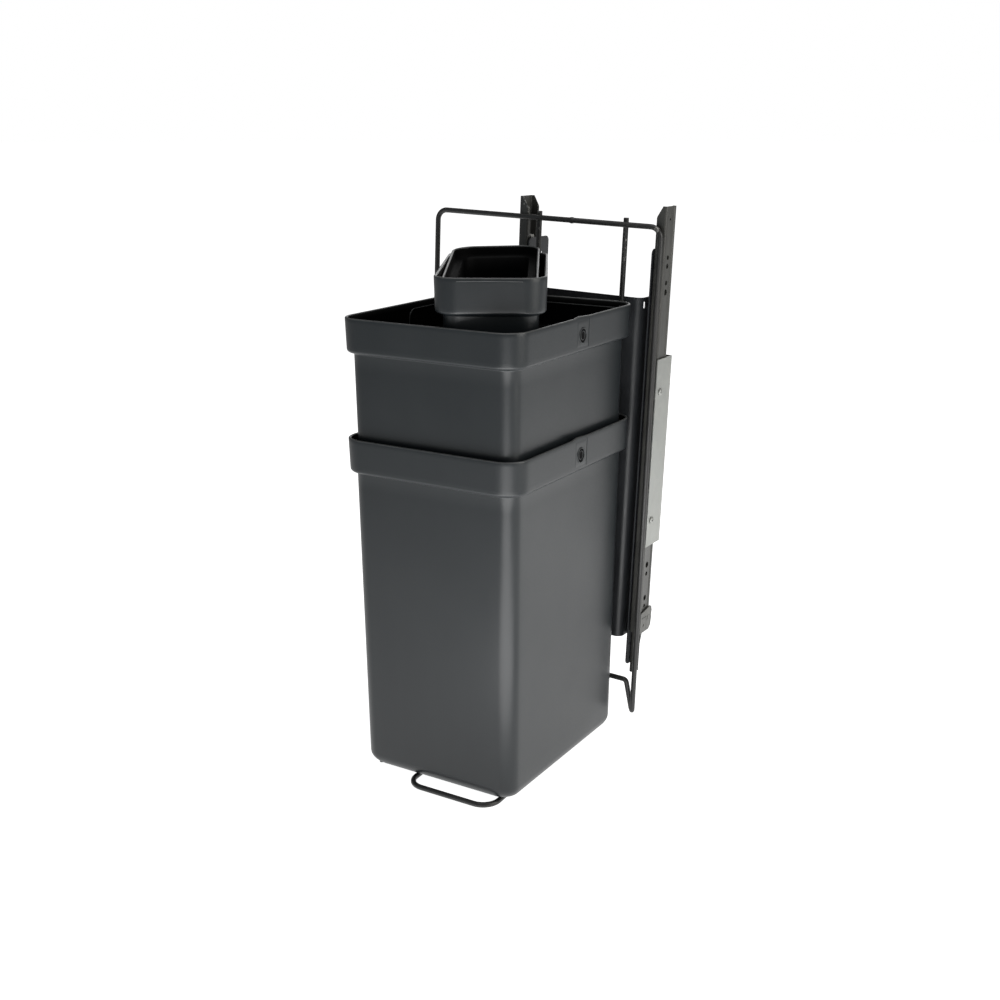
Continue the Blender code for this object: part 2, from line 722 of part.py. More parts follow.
def main():
    clear_scene()
    coll = make_collection("waste_sorting_pullout")
    tools = make_collection("cutters")
    mats = {
        "bin": material("bin_plastic", (0.045, 0.05, 0.055), 0.5, 0.0),
        "wire": material("wire_enamel", (0.05, 0.05, 0.052), 0.42, 0.3),
        "sheet": material("sheet_enamel", (0.035, 0.04, 0.048), 0.45, 0.3),
        "slide": material("slide_enamel", (0.06, 0.06, 0.055), 0.4, 0.6),
        "cage": material("cage_steel", (0.45, 0.45, 0.43), 0.35, 0.9),
        "stop": material("stop_plastic", (0.4, 0.4, 0.38), 0.5, 0.0),
        "zinc": material("zinc_plate", (0.52, 0.53, 0.51), 0.45, 0.8),
        "rivet": material("rivet_steel", (0.12, 0.12, 0.12), 0.4, 0.8),
    }
    build_bins(coll, tools, mats)
    build_frame(coll, tools, mats)


main()
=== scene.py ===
"""Looks of the pull-out waste sorting set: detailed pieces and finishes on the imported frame."""
import json
import math

import bmesh
import bpy
from mathutils import Matrix, Vector, noise


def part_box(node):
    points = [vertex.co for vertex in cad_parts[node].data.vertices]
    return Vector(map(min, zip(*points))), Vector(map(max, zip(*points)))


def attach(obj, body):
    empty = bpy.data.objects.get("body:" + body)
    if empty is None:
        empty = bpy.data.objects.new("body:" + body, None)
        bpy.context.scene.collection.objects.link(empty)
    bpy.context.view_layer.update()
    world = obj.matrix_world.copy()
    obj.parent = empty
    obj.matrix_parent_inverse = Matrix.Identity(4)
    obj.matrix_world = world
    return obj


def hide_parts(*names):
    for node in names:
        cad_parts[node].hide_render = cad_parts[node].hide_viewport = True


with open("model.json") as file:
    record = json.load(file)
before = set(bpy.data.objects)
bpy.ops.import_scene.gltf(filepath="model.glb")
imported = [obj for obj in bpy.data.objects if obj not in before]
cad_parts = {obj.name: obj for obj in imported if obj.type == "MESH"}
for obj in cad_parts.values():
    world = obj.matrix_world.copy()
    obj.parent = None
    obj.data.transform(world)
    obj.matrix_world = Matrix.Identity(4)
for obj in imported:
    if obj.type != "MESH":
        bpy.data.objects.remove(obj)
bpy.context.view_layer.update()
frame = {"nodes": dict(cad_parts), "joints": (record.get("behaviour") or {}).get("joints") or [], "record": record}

MM = 0.001
SIDES = (("left", -1), ("right", 1))

# Bins, in their own millimetres with the origin on the floor's middle. "collar" is the height of
# the rim band, "step" how far it stands out, "foot" the floor's edge radius, "bow" how far a wall
# draws in between its corners.
LARGE = {
    "width": 215.0, "depth": 261.0, "height": 376.0, "collar": 36.5, "step": 8.5, "corner": 25.0,
    "wall": 1.2, "taper": 4.0, "foot": 16.0, "base": 1.8, "bow": 0.25, "lip": 3.0,
}
SMALL = {
    "width": 111.0, "depth": 250.0, "height": 376.0, "collar": 36.5, "step": 8.5, "corner": 25.0,
    "wall": 1.5, "taper": 5.0, "foot": 14.0, "base": 2.0, "bow": 0.5, "lip": 3.0,
}
INSERT = {
    "width": 97.0, "depth": 230.0, "height": 190.0, "collar": 14.0, "step": 11.0, "corner": 26.0,
    "wall": 1.4, "taper": 4.5, "foot": 12.0, "base": 1.8, "bow": 0.3, "lip": 2.6,
}
LOOP_STEPS = (12, 44, 16)

# Degrees: turn of the small bin and its insert, and the insert's lean in the small bin
SMALL_TURN = 29.4
INSERT_TILT = 4.0
INSERT_ROLL = 1.4

# Details of a large bin: floor studs (x, y), collar pad with its ring, rim hump and inner ridge
STUDS = ((-83.0, -103.5), (68.0, -102.5), (-80.0, 101.0), (77.0, 101.0))
PAD_MIDDLE = 3.0
PAD_WIDTH = 26.0
PAD_DEPTH = 0.5
RING_STEPS = 48
HUMP_FROM = -16.0
HUMP_TOP = -5.0
HUMP_TO = 20.0
HUMP_RISE = 1.5
RIDGE_DROP = 7.6
RIDGE_FRONT = -4.0

# Slide frame in millimetres: u across, n towards the back, w along the slides. The first two
# give the foot flanges' middle, which the record's mounts carry.
FLANGE_N = 38.0
FLANGE_W = 338.0
WIRE = 3.0
SHEET = 1.5
RAIL = 1.2
SLIDE_MID = 13.0
BORE = 2.3
SCREW_N, SCREW_W = 9.5, (260.0, 410.5)
TRAY_RIVET_N, TRAY_RIVET_W = 31.5, (150.0, 480.0)
SLIDE_RIVET_W = (180.0, 510.0)
WEB_HOLES = (
    (153.5, 2.4), (163.5, 3.4), (193.5, 2.6), (204.5, 3.6), (521.0, 3.4), (531.5, 2.8),
    (549.5, 2.8), (559.0, 2.6), (600.0, 1.6),
)

# Camera in metres, degrees and millimetres, and the glow of the floor and the world
CAMERA_PLACE = (0.7714, -1.2364, 0.7118)
CAMERA_YAW = 31.43
CAMERA_PITCH = 16.21
CAMERA_LENS = 48.47
FLOOR_GLOW = 0.86
FLOOR_GLOW_FAR = 0.22
WORLD_GLOW = 0.13


def slide_matrix():
    """Carries slide-frame millimetres into world metres, from the record's mounts and slide axis."""
    mounts = {m["name"]: m for m in frame["record"]["mounts"]}
    joint = next(j for j in frame["joints"] if j["name"] == "right_slide")
    right = Vector(mounts["right_foot_flange"]["pos_m"])
    left = Vector(mounts["left_foot_flange"]["pos_m"])
    u = (right - left).normalized()
    w = Vector(joint["axis"]).normalized()
    n = w.cross(u).normalized()
    start = (right + left) / 2 - n * FLANGE_N * MM - w * FLANGE_W * MM
    turn = Matrix((u * MM, n * MM, w * MM)).transposed().to_4x4()
    return Matrix.Translation(start) @ turn


SLIDES = slide_matrix()


def local_box(node):
    """Lowest and highest corner of a CAD node in the slide frame, in millimetres."""
    back = SLIDES.inverted()
    points = [back @ v.co for v in frame["nodes"][node].data.vertices]
    low = Vector([min(p[i] for p in points) for i in range(3)])
    high = Vector([max(p[i] for p in points) for i in range(3)])
    return low, high


# Materials

class Graph:
    """Short hand for building one material's nodes."""

    def __init__(self, name):
        self.mat = bpy.data.materials.new(name)
        self.mat.use_nodes = True
        self.tree = self.mat.node_tree
        self.shader = self.tree.nodes["Principled BSDF"]
        self.coords = self.tree.nodes.new("ShaderNodeTexCoord").outputs["Object"]

    def node(self, kind, inputs=None, **settings):
        made = self.tree.nodes.new(kind)
        for key, value in settings.items():
            setattr(made, key, value)
        for key, value in (inputs or {}).items():
            self.put(made.inputs[key], value)
        return made

    def put(self, socket, value):
        if isinstance(value, bpy.types.NodeSocket):
            self.tree.links.new(value, socket)
        else:
            socket.default_value = value

    def stretch(self, scale):
        return self.node("ShaderNodeMapping", {"Vector": self.coords, "Scale": scale}).outputs[0]

    def noise(self, scale, detail=3.0, rough=0.55, vector=None):
        made = self.node("ShaderNodeTexNoise", {
            "Vector": vector or self.coords, "Scale": scale, "Detail": detail, "Roughness": rough})
        return made.outputs["Fac"]

    def ramp(self, value, low, high, start=0.0, end=1.0):
        made = self.node("ShaderNodeMapRange", {
            "Value": value, "From Min": low, "From Max": high, "To Min": start, "To Max": end})
        return made.outputs[0]

    def maths(self, operation, a, b):
        made = self.node("ShaderNodeMath", {0: a, 1: b}, operation=operation)
        return made.outputs[0]

    def blend(self, share, a, b):
        made = self.node("ShaderNodeMix", {0: share, 6: a, 7: b}, data_type="RGBA")
        return made.outputs[2]

    def bump(self, height, strength, distance, before=None):
        inputs = {"Height": height, "Strength": strength, "Distance": distance}
        if before is not None:
            inputs["Normal"] = before
        return self.node("ShaderNodeBump", inputs).outputs[0]

    def finish(self, colour, roughness, normal, **fixed):
        self.put(self.shader.inputs["Base Color"], colour)
        self.put(self.shader.inputs["Roughness"], roughness)
        self.put(self.shader.inputs["Normal"], normal)
        for key, value in fixed.items():
            self.put(self.shader.inputs[key.replace("_", " ")], value)
        return self.mat


def rgb(r, g, b):
    return (r, g, b, 1.0)


def plastic(name, dark, light, edge, roughness, specular):
    """Moulded polypropylene: spark-eroded grain, faint flow streaks, and a painted highlight on the rims, broken
    up by noise.
    """
    g = Graph(name)
    broad = g.noise(9.0, 3.0)
    streak = g.noise(30.0, 2.0, vector=g.stretch((1.0, 1.0, 0.06)))
    grain = g.noise(2100.0, 2.0, 0.7)
    pores = g.noise(620.0, 2.0, 0.6)
    share = g.maths("ADD", g.maths("MULTIPLY", broad, 0.6), g.maths("MULTIPLY", streak, 0.45))
    colour = g.blend(g.ramp(share, 0.3, 0.75), dark, light)
    rim = g.node("ShaderNodeAttribute", attribute_name="rim").outputs["Fac"]
    # Painted highlight: where the rim attribute is set, the colour blends towards the pale edge colour, broken up
    # by noise
    rim_highlight = g.maths("MULTIPLY", rim, g.ramp(g.noise(70.0, 4.0), 0.25, 0.6, 0.55, 1.0))
    colour = g.blend(rim_highlight, colour, edge)
    rough = g.ramp(g.maths("ADD", broad, pores), 0.6, 1.4, roughness - 0.05, roughness + 0.06)
    wave = g.bump(g.noise(13.0, 1.0), 0.35, 0.0012)
    normal = g.bump(g.maths("ADD", grain, g.maths("MULTIPLY", pores, 0.7)), 0.16, 0.00012, wave)
    return g.finish(colour, rough, normal, Specular_IOR_Level=specular)


def coated(name, dark, light, bare, roughness):
    """Powder coat over steel with orange peel, dust, and paint worn to metal by the wear layer."""
    g = Graph(name)
    broad = g.noise(35.0, 4.0)
    streak = g.noise(160.0, 3.0, vector=g.stretch((1.0, 1.0, 0.05)))
    peel = g.noise(420.0, 2.0)
    fine = g.noise(1700.0, 2.0)
    colour = g.blend(g.ramp(g.maths("ADD", broad, streak), 0.7, 1.35), dark, light)
    rough = g.ramp(g.maths("ADD", broad, fine), 0.7, 1.3, roughness - 0.07, roughness + 0.1)
    worn = g.node("ShaderNodeAttribute", attribute_name="wear").outputs["Fac"]
    patch = g.ramp(g.maths("ADD", g.noise(210.0, 5.0, 0.7), g.maths("MULTIPLY", worn, 0.5)), 0.86, 0.95)
    patch = g.maths("MULTIPLY", patch, g.ramp(worn, 0.02, 0.2))
    colour = g.blend(patch, colour, bare)
    normal = g.bump(g.maths("ADD", peel, g.maths("MULTIPLY", fine, 0.4)), 0.14, 0.00012)
    metal = g.maths("MULTIPLY", patch, 0.85)
    return g.finish(colour, rough, normal, Metallic=metal, Specular_IOR_Level=0.55)


def galvanised(name):
    """Zinc spangle: soft crystal patches with slightly different grey and gloss."""
    g = Graph(name)
    cells = g.node("ShaderNodeTexVoronoi", {"Vector": g.coords, "Scale": 95.0, "Randomness": 1.0})
    tone = g.node("ShaderNodeSeparateColor", {0: cells.outputs["Color"]}).outputs[0]
    cloud = g.noise(45.0, 4.0)
    scratch = g.noise(600.0, 2.0, vector=g.stretch((1.0, 1.0, 0.03)))
    share = g.maths("ADD", g.maths("MULTIPLY", tone, 0.55), g.maths("MULTIPLY", cloud, 0.45))
    colour = g.blend(share, rgb(0.33, 0.34, 0.325), rgb(0.45, 0.46, 0.44))
    rough = g.ramp(g.maths("ADD", tone, scratch), 0.3, 1.5, 0.36, 0.56)
    normal = g.bump(g.maths("ADD", scratch, g.maths("MULTIPLY", tone, 0.6)), 0.12, 0.00015)
    return g.finish(colour, rough, normal, Metallic=0.75)


def bare_steel(name, dark, light, roughness):
    """Rolled steel with fine lengthwise scratches and a film of oil."""
    g = Graph(name)
    cloud = g.noise(60.0, 4.0)
    scratch = g.noise(900.0, 3.0, vector=g.stretch((1.0, 1.0, 0.04)))
    colour = g.blend(g.ramp(g.maths("ADD", cloud, scratch), 0.6, 1.4), dark, light)
    rough = g.ramp(g.maths("ADD", cloud, scratch), 0.6, 1.4, roughness - 0.08, roughness + 0.1)
    normal = g.bump(scratch, 0.15, 0.0001)
    return g.finish(colour, rough, normal, Metallic=0.9)


def floor_finish():
    """Matte white sweep that glows evenly to the eye and less towards its far edge."""
    g = Graph("floor_matte")
    cloud = g.noise(3.0, 3.0)
    colour = g.blend(cloud, rgb(0.80, 0.80, 0.80), rgb(0.83, 0.83, 0.83))
    normal = g.bump(g.noise(500.0, 2.0), 0.05, 0.0002)
    g.finish(colour, 0.8, normal, Specular_IOR_Level=0.1)
    away = g.node("ShaderNodeVectorMath", {0: g.coords}, operation="LENGTH").outputs["Value"]
    glow = g.ramp(away, 0.3, 1.7, FLOOR_GLOW, FLOOR_GLOW_FAR)
    seen = g.node("ShaderNodeLightPath").outputs["Is Camera Ray"]
    level = g.node("ShaderNodeMix", {0: seen, 2: glow, 3: 1.0}, data_type="FLOAT").outputs[0]
    g.shader.inputs["Emission Color"].default_value = rgb(1.0, 1.0, 1.0)
    g.put(g.shader.inputs["Emission Strength"], level)
    return g.mat


MATS = {
    # bin: its pale edge colour is the painted highlight on the rims and ridge lines
    "bin": plastic("anthracite_plastic", rgb(0.0105, 0.0138, 0.0162), rgb(0.0158, 0.0192, 0.0215),
                   rgb(0.085, 0.088, 0.088), 0.34, 0.5),
    # inside: much darker, rougher and barely reflective plastic for the bins' insides and the ring's recess, as
    # painted shade
    "inside": plastic("anthracite_plastic_painted_shade", rgb(0.0012, 0.0013, 0.0014),
                      rgb(0.0022, 0.0023, 0.0024), rgb(0.035, 0.035, 0.035), 0.7, 0.06),
    "wire": coated("wire_powder_coat", rgb(0.018, 0.018, 0.018), rgb(0.032, 0.032, 0.031),
                   rgb(0.42, 0.41, 0.39), 0.36),
    "sheet": coated("sheet_powder_coat", rgb(0.023, 0.025, 0.028), rgb(0.036, 0.039, 0.043),
                    rgb(0.35, 0.35, 0.34), 0.42),
    "slide": coated("slide_black_coat", rgb(0.034, 0.034, 0.031), rgb(0.068, 0.068, 0.062),
                    rgb(0.50, 0.50, 0.48), 0.34),
    "zinc": galvanised("galvanised_sheet"),
    "cage": bare_steel("cage_strip", rgb(0.30, 0.30, 0.29), rgb(0.48, 0.48, 0.46), 0.36),
    "ball": bare_steel("ball_steel", rgb(0.55, 0.55, 0.55), rgb(0.70, 0.70, 0.69), 0.18),
    "rivet": bare_steel("rivet_black", rgb(0.03, 0.03, 0.03), rgb(0.10, 0.10, 0.10), 0.42),
    "worn": coated("worn_stamping", rgb(0.060, 0.060, 0.055), rgb(0.16, 0.16, 0.15),
                   rgb(0.34, 0.34, 0.32), 0.42),
    "stop": plastic("stop_nylon", rgb(0.30, 0.30, 0.285), rgb(0.38, 0.38, 0.36),
                    rgb(0.5, 0.5, 0.48), 0.5, 0.5),
}


# Mesh building

def make_mesh(name, points, faces, matrix=None):
    """Mesh from points in millimetres, or in a matrix's own units."""
    mesh = bpy.data.meshes.new(name)
    mesh.from_pydata([matrix @ p if matrix else p * MM for p in points], [], faces)
    mesh.validate()
    return mesh


def tidy(mesh, angle=35.0):
    """Joins doubled points, turns faces outwards and smooths all but the sharp edges."""
    bm = bmesh.new()
    bm.from_mesh(mesh)
    bmesh.ops.remove_doubles(bm, verts=bm.verts, dist=0.000002)
    bmesh.ops.recalc_face_normals(bm, faces=bm.faces)
    bm.to_mesh(mesh)
    bm.free()
    for poly in mesh.polygons:
        poly.use_smooth = True
    mesh.set_sharp_from_angle(angle=math.radians(angle))
    return mesh


def add_object(name, data):
    obj = bpy.data.objects.new(name, data)
    bpy.context.scene.collection.objects.link(obj)
    return obj


def add_piece(name, mesh, mat, body, node=None):
    """Adds a piece that rides on a body and may stand for a CAD node."""
    obj = add_object(name, mesh)
    if not mesh.materials:
        mesh.materials.append(mat)
    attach(obj, body)
    if node:
        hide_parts(node)


def rounded_loop(width, depth, radius, z, steps):
    """Counter-clockwise rounded rectangle; steps are for a corner, a long run and a short run."""
    corner_steps, long_steps, short_steps = steps
    points = []
    quarters = ((1, 1, 0), (-1, 1, 90), (-1, -1, 180), (1, -1, 270))
    for index, (sx, sy, start) in enumerate(quarters):
        centre = Vector((sx * (width / 2 - radius), sy * (depth / 2 - radius), z))
        for i in range(corner_steps + 1):
            a = math.radians(start + 90.0 * i / corner_steps)
            points.append(centre + Vector((radius * math.cos(a), radius * math.sin(a), 0.0)))
        last = points[-1]
        nx, ny, turn = quarters[(index + 1) % 4]
        a = math.radians(turn)
        ahead = Vector((nx * (width / 2 - radius) + radius * math.cos(a),
                        ny * (depth / 2 - radius) + radius * math.sin(a), z))
        parts = short_steps if index % 2 == 0 else long_steps
        for i in range(1, parts):
            points.append(last.lerp(ahead, i / parts))
    return points


def skin(rows, closed_start=True, closed_end=True):
    """Faces through rows of equal length, with end caps."""
    count = len(rows[0])
    points = [p for row in rows for p in row]
    faces = []
    for r in range(len(rows) - 1):
        for i in range(count):
            j = (i + 1) % count
            faces.append((r * count + i, r * count + j, (r + 1) * count + j, (r + 1) * count + i))
    if closed_start:
        faces.append(tuple(reversed(range(count))))
    if closed_end:
        base = (len(rows) - 1) * count
        faces.append(tuple(base + i for i in range(count)))
    return points, faces


def rounded_path(corners, radii, closed=False, steps=8):
    """Polyline through corners with each corner replaced by an arc."""
    points = []
    count = len(corners)
    for i, corner in enumerate(corners):
        radius = radii[i]
        if radius <= 0.0 or (not closed and i in (0, count - 1)):
            points.append(corner.copy())
            continue
        back = (corners[i - 1] - corner).normalized()
        ahead = (corners[(i + 1) % count] - corner).normalized()
        half = back.angle(ahead) / 2
        centre = corner + (back + ahead).normalized() * (radius / math.sin(half))
        start = corner + back * (radius / math.tan(half)) - centre
        end = corner + ahead * (radius / math.tan(half)) - centre
        swing = start.angle(end)
        for k in range(steps + 1):
            t = k / steps
            a = math.sin((1 - t) * swing) / math.sin(swing)
            b = math.sin(t * swing) / math.sin(swing)
            points.append(centre + start * a + end * b)
    return points


def tube(points, radius, closed=False, sides=20, swell=None):
    """Rows of a round tube along a polyline, with the ring frame carried along without twist."""
    rows = []
    count = len(points)
    normal = None
    for i, p in enumerate(points):
        before = points[i - 1] if closed or i > 0 else p
        after = points[(i + 1) % count] if closed or i < count - 1 else p
        along = (after - before).normalized()
        if normal is None:
            normal = along.orthogonal().normalized()
        normal = (normal - along * normal.dot(along)).normalized()
        side = along.cross(normal)
        size = radius * (swell[i] if swell else 1.0)
        ring = []
        for k in range(sides):
            a = 2 * math.pi * k / sides
            ring.append(p + normal * (size * math.cos(a)) + side * (size * math.sin(a)))
        rows.append(ring)
    return rows


def prism(outline, place, length, slices=1):
    """Extrudes a flat (a, b) outline; place maps (a, b, t) to a point."""
    rows = []
    for k in range(slices + 1):
        rows.append([Vector(place(a, b, length * k / slices)) for a, b in outline])
    return skin(rows)


def sheet_outline(points, radii, thickness, steps=6):
    """Closed outline of a bent sheet along rounded points."""
    line = rounded_path([Vector((a, b, 0.0)) for a, b in points], radii, steps=steps)
    left, right = [], []
    for i, p in enumerate(line):
        along = (line[min(i + 1, len(line) - 1)] - line[max(i - 1, 0)]).normalized()
        side = Vector((-along.y, along.x, 0.0)) * (thickness / 2)
        left.append((p + side).to_2d()[:])
        right.append((p - side).to_2d()[:])
    return left + list(reversed(right))


def lathe(profile, place, sides=24):
    """Turned body; profile gives (along, radius), place maps (along, x, y) to a point."""
    rows = []
    for along, radius in profile:
        ring = []
        for k in range(sides):
            a = 2 * math.pi * k / sides
            ring.append(Vector(place(along, radius * math.cos(a), radius * math.sin(a))))
        rows.append(ring)
    return skin(rows)


def join(parts):
    """One list of points and faces from several."""
    points, faces = [], []
    for more_points, more_faces in parts:
        base = len(points)
        points += more_points
        faces += [tuple(base + i for i in f) for f in more_faces]
    return points, faces


def bead(centre, sizes, seed):
    """Lumpy ellipsoid of weld metal."""
    bm = bmesh.new()
    bmesh.ops.create_icosphere(bm, subdivisions=3, radius=1.0)
    points = []
    for v in bm.verts:
        lump = 1.0 + 0.13 * noise.noise(v.co * 2.3 + Vector((seed, 0.0, 0.0)))
        points.append(centre + Vector([c * s * lump for c, s in zip(v.co, sizes)]))
    faces = [tuple(v.index for v in f.verts) for f in bm.faces]
    bm.free()
    return points, faces


def applied(obj, helpers=()):
    """Mesh of an object with its modifiers applied; the object and its helpers go."""
    bpy.context.view_layer.update()
    graph = bpy.context.evaluated_depsgraph_get()
    made = bpy.data.meshes.new_from_object(obj.evaluated_get(graph))
    made.name = obj.data.name
    for item in [obj, *helpers]:
        bpy.data.objects.remove(item, do_unlink=True)
    return made


def level_normals(mesh):
    """Weights the normals by face area, so that flat sheet stays flat beside its broken edges."""
    obj = add_object("work", mesh)
    mod = obj.modifiers.new("normals", "WEIGHTED_NORMAL")
    mod.mode = "FACE_AREA"
    mod.weight = 100
    mod.keep_sharp = True
    return applied(obj)


def carve(mesh, cutters, bevel=0.0):
    """Mesh with the cutters taken away and its edges softly broken."""
    obj = add_object("work", mesh)
    helpers = []
    for index, cut in enumerate(cutters):
        helper = add_object(f"work_cut_{index}", cut)
        helpers.append(helper)
        mod = obj.modifiers.new(helper.name, "BOOLEAN")
        mod.operation = "DIFFERENCE"
        mod.solver = "EXACT"
        mod.object = helper
    if bevel:
        mod = obj.modifiers.new("edges", "BEVEL")
        mod.width = bevel * MM
        mod.segments = 2
        mod.limit_method = "ANGLE"
        mod.angle_limit = math.radians(40.0)
        mod.use_clamp_overlap = True
    made = applied(obj, helpers)
    for poly in made.polygons:
        poly.use_smooth = True
    made.set_sharp_from_angle(angle=math.radians(32.0))
    return level_normals(made)


def slide_mesh(name, shape):
    """Clean mesh from points and faces in slide-frame millimetres."""
    return tidy(make_mesh(name, *shape, SLIDES))


def drawn(name, node, outline, side, slices):
    """Section drawn over the length of a CAD node; side -1 mirrors it."""
    low, high = local_box(node)
    length = high.z - low.z
    return slide_mesh(name, prism(outline, lambda a, b, t: (side * a, b, low.z + t), length, slices))


def round_cut(u, n, w, radius, half):
    """Round cutter along u, reaching half its length to either side."""
    profile = [(-half, radius), (half, radius)]
    return slide_mesh("cut", lathe(profile, lambda t, x, y: (u + t, n + x, w + y)))


def block_cut(low, high):
    """Box cutter between two corners of the slide frame."""
    outline = [(low[0], low[1]), (high[0], low[1]), (high[0], high[1]), (low[0], high[1])]
    length = high[2] - low[2]
    return slide_mesh("cut", prism(outline, lambda a, b, t: (a, b, low[2] + t), length))


def paint(mesh, name, rule):
    """Stores a 0 to 1 value per vertex; rule takes the point in slide-frame millimetres."""
    back = SLIDES.inverted()
    layer = mesh.attributes.new(name, "FLOAT", "POINT")
    layer.data.foreach_set("value", [rule(back @ v.co) for v in mesh.vertices])


# Bins

def bin_profile(size):
    """Rows of (cut, corner, z, rim share of the painted highlight, inside, bow) from the floor up, over the rim
    and down.
    """
    rows = []
    height, step, wall = size["height"], size["step"], size["wall"]
    shoulder = height - size["collar"]
    inner_corner = size["corner"] - step

    def body(z, inset):
        return step + size["taper"] * (1.0 - z / shoulder) + inset

    def bowed(z):
        return size["bow"] * math.sin(math.pi * min(max(z / shoulder, 0.0), 1.0))

    def put(cut, corner, z, rim=0.0, inside=0, bow=0.0):
        rows.append((cut, max(corner, 2.0), z, rim, inside, bow))

    foot = size["foot"]
    put(body(0.0, foot + 18.0), 6.0, 0.7)
    for k in range(9):
        a = math.radians(90.0 - 90.0 * k / 8)
        rise, draw = foot * (1 - math.sin(a)), foot * (1 - math.cos(a))
        put(body(rise, draw), max(inner_corner, 14.0), rise)
    for k in range(1, 21):
        z = foot + (shoulder - 2.2 - foot) * k / 20
        put(body(z, 0.0), inner_corner, z, bow=bowed(z))
    put(body(shoulder, -0.25), inner_corner, shoulder - 1.0)
    put(body(shoulder, -1.1), inner_corner + 0.6, shoulder - 0.15)
    put(4.6, size["corner"] - 3.9, shoulder)
    for k in range(1, 7):
        a = math.radians(90.0 * k / 6)
        put(0.8 + 3.8 * (1 - math.sin(a)), size["corner"] - 3.2 + 3.0 * math.sin(a),
            shoulder + 3.8 * (1 - math.cos(a)))
    top = height - 1.3
    for k in range(1, 9):
        t = k / 8
        put(0.8 * (1 - t), size["corner"] - 0.2 * (1 - t), shoulder + 3.8 + (top - shoulder - 3.8) * t)
    lip = size["lip"]
    for k in range(1, 8):
        a = math.radians(180.0 * k / 8)
        put(lip / 2 * (1 - math.cos(a)), size["corner"] - lip / 2 * (1 - math.cos(a)),
            top + 1.3 * math.sin(a), 1.0)
    put(lip, size["corner"] - lip, top, 0.5, 1)
    ledge = shoulder + wall + 1.4
    for k in range(1, 7):
        t = k / 6
        put(lip + 0.9 * t, size["corner"] - lip - 0.8 * t, top + (ledge + 2.0 - top) * t, 0.0, 1)
    put(lip + 1.5, size["corner"] - lip - 1.4, ledge + 0.5, 0.0, 1)
    put(lip + 2.6, size["corner"] - lip - 2.2, ledge, 0.25, 1)
    put(body(shoulder, wall - 0.8), inner_corner, ledge - 0.1, 0.3, 1)
    put(body(shoulder, wall), inner_corner - 0.4, ledge - 1.3, 0.15, 1)
    inner_foot = foot - wall
    base = size["base"]
    for k in range(1, 13):
        z = ledge - 1.3 + (base + inner_foot - ledge + 1.3) * k / 12
        put(body(z, wall), inner_corner - 0.5, z, 0.0, 1, bow=bowed(z))
    for k in range(1, 7):
        a = math.radians(90.0 * k / 6)
        rise, draw = inner_foot * (1 - math.sin(a)), inner_foot * (1 - math.cos(a))
        put(body(rise + base, wall + draw), max(inner_corner - 1.0, 13.0), rise + base, 0.0, 1)
    put(body(base, wall + inner_foot + 16.0), 5.0, base + 0.2, 0.0, 1)
    return rows


def hump_share(y):
    """Rise of the rim beside the collar pad: quick at its front end, slow towards the back."""
    rise = min(max((y - HUMP_FROM) / (HUMP_TOP - HUMP_FROM), 0.0), 1.0)
    fall = min(max((HUMP_TO - y) / (HUMP_TO - HUMP_TOP), 0.0), 1.0)
    return rise * rise * (3 - 2 * rise) * fall


def drawn_in(own, other, own_size, other_size, bow):
    """Coordinate of a wall point after its wall has drawn in between the corners."""
    if abs(own) <= own_size * 0.49:
        return own
    return own - math.copysign(bow * max(1 - (2 * other / other_size) ** 2, 0.0), own)


def bin_mesh(name, size, detailed):
    """Bin with its rim marked for a painted highlight and its inside in a dark material as painted shade; detailed
    adds the large bins' rim hump and floor studs.
    """
    rows, highlight_shares, inner = [], [], []
    for cut, corner, z, rim, inside, bow in bin_profile(size):
        width, depth = size["width"] - 2 * cut, size["depth"] - 2 * cut
        loop = rounded_loop(width, depth, corner, z, LOOP_STEPS)
        for p in loop:
            if bow:
                p.x = drawn_in(p.x, p.y, width, depth, bow)
                p.y = drawn_in(p.y, p.x, depth, width, bow)
            if detailed and p.x > 0 and z > size["height"] - 6.0:
                p.z += HUMP_RISE * hump_share(p.y)
        rows.append(loop)
        highlight_shares.append(rim)
        inner.append(inside)
    points, faces = skin(rows)
    count = len(rows[0])
    base_faces = len(faces)
    shell_points = len(points)
    if detailed:
        stud = [(2.4, 2.5), (-0.9, 2.5), (-1.3, 2.3), (-1.5, 1.7), (-1.5, 0.6)]
        studs = [lathe(stud, lambda t, a, b: (x + a, y + b, t), 20) for x, y in STUDS]
        points, faces = join([(points, faces)] + studs)
    mesh = bpy.data.meshes.new(name)
    mesh.from_pydata([p * MM for p in points], [], faces)
    layer = mesh.attributes.new("rim", "FLOAT", "POINT")
    values = [highlight_shares[i // count] if i < shell_points else 0.0 for i in range(len(points))]
    if size is INSERT:  # painted highlight on the inner ledges only at the middle of its far wall
        for i in range(shell_points):
            middle = points[i].y > size["depth"] * 0.38 and abs(points[i].x) < size["width"] * 0.33
            if inner[i // count] and not middle:
                values[i] = 0.0
    layer.data.foreach_set("value", values)
    mesh.materials.append(MATS["bin"])
    mesh.materials.append(MATS["inside"])
    for index, poly in enumerate(mesh.polygons):
        row = index // count
        # Inner walls and the inner floor take the dark inside material as painted shade
        dark = index < base_faces and (row >= len(rows) - 1 or inner[min(row, len(inner) - 1)])
        if index == base_faces - 2:  # the cap under the floor
            dark = False
        poly.material_index = 1 if dark else 0
        poly.use_smooth = True
    mesh.set_sharp_from_angle(angle=math.radians(50.0))
    return mesh


def settle(mesh, matrix, size, node):
    """Turns the mesh and brings its outline onto the middle and top of a CAD node's box."""
    mesh.transform(matrix)
    low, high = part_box(node)
    plain = bin_corner_box(size, matrix)
    shift = (low + high) / 2 - (plain[0] + plain[1]) / 2
    shift.z = high.z - plain[1].z
    mesh.transform(Matrix.Translation(shift))
    return shift


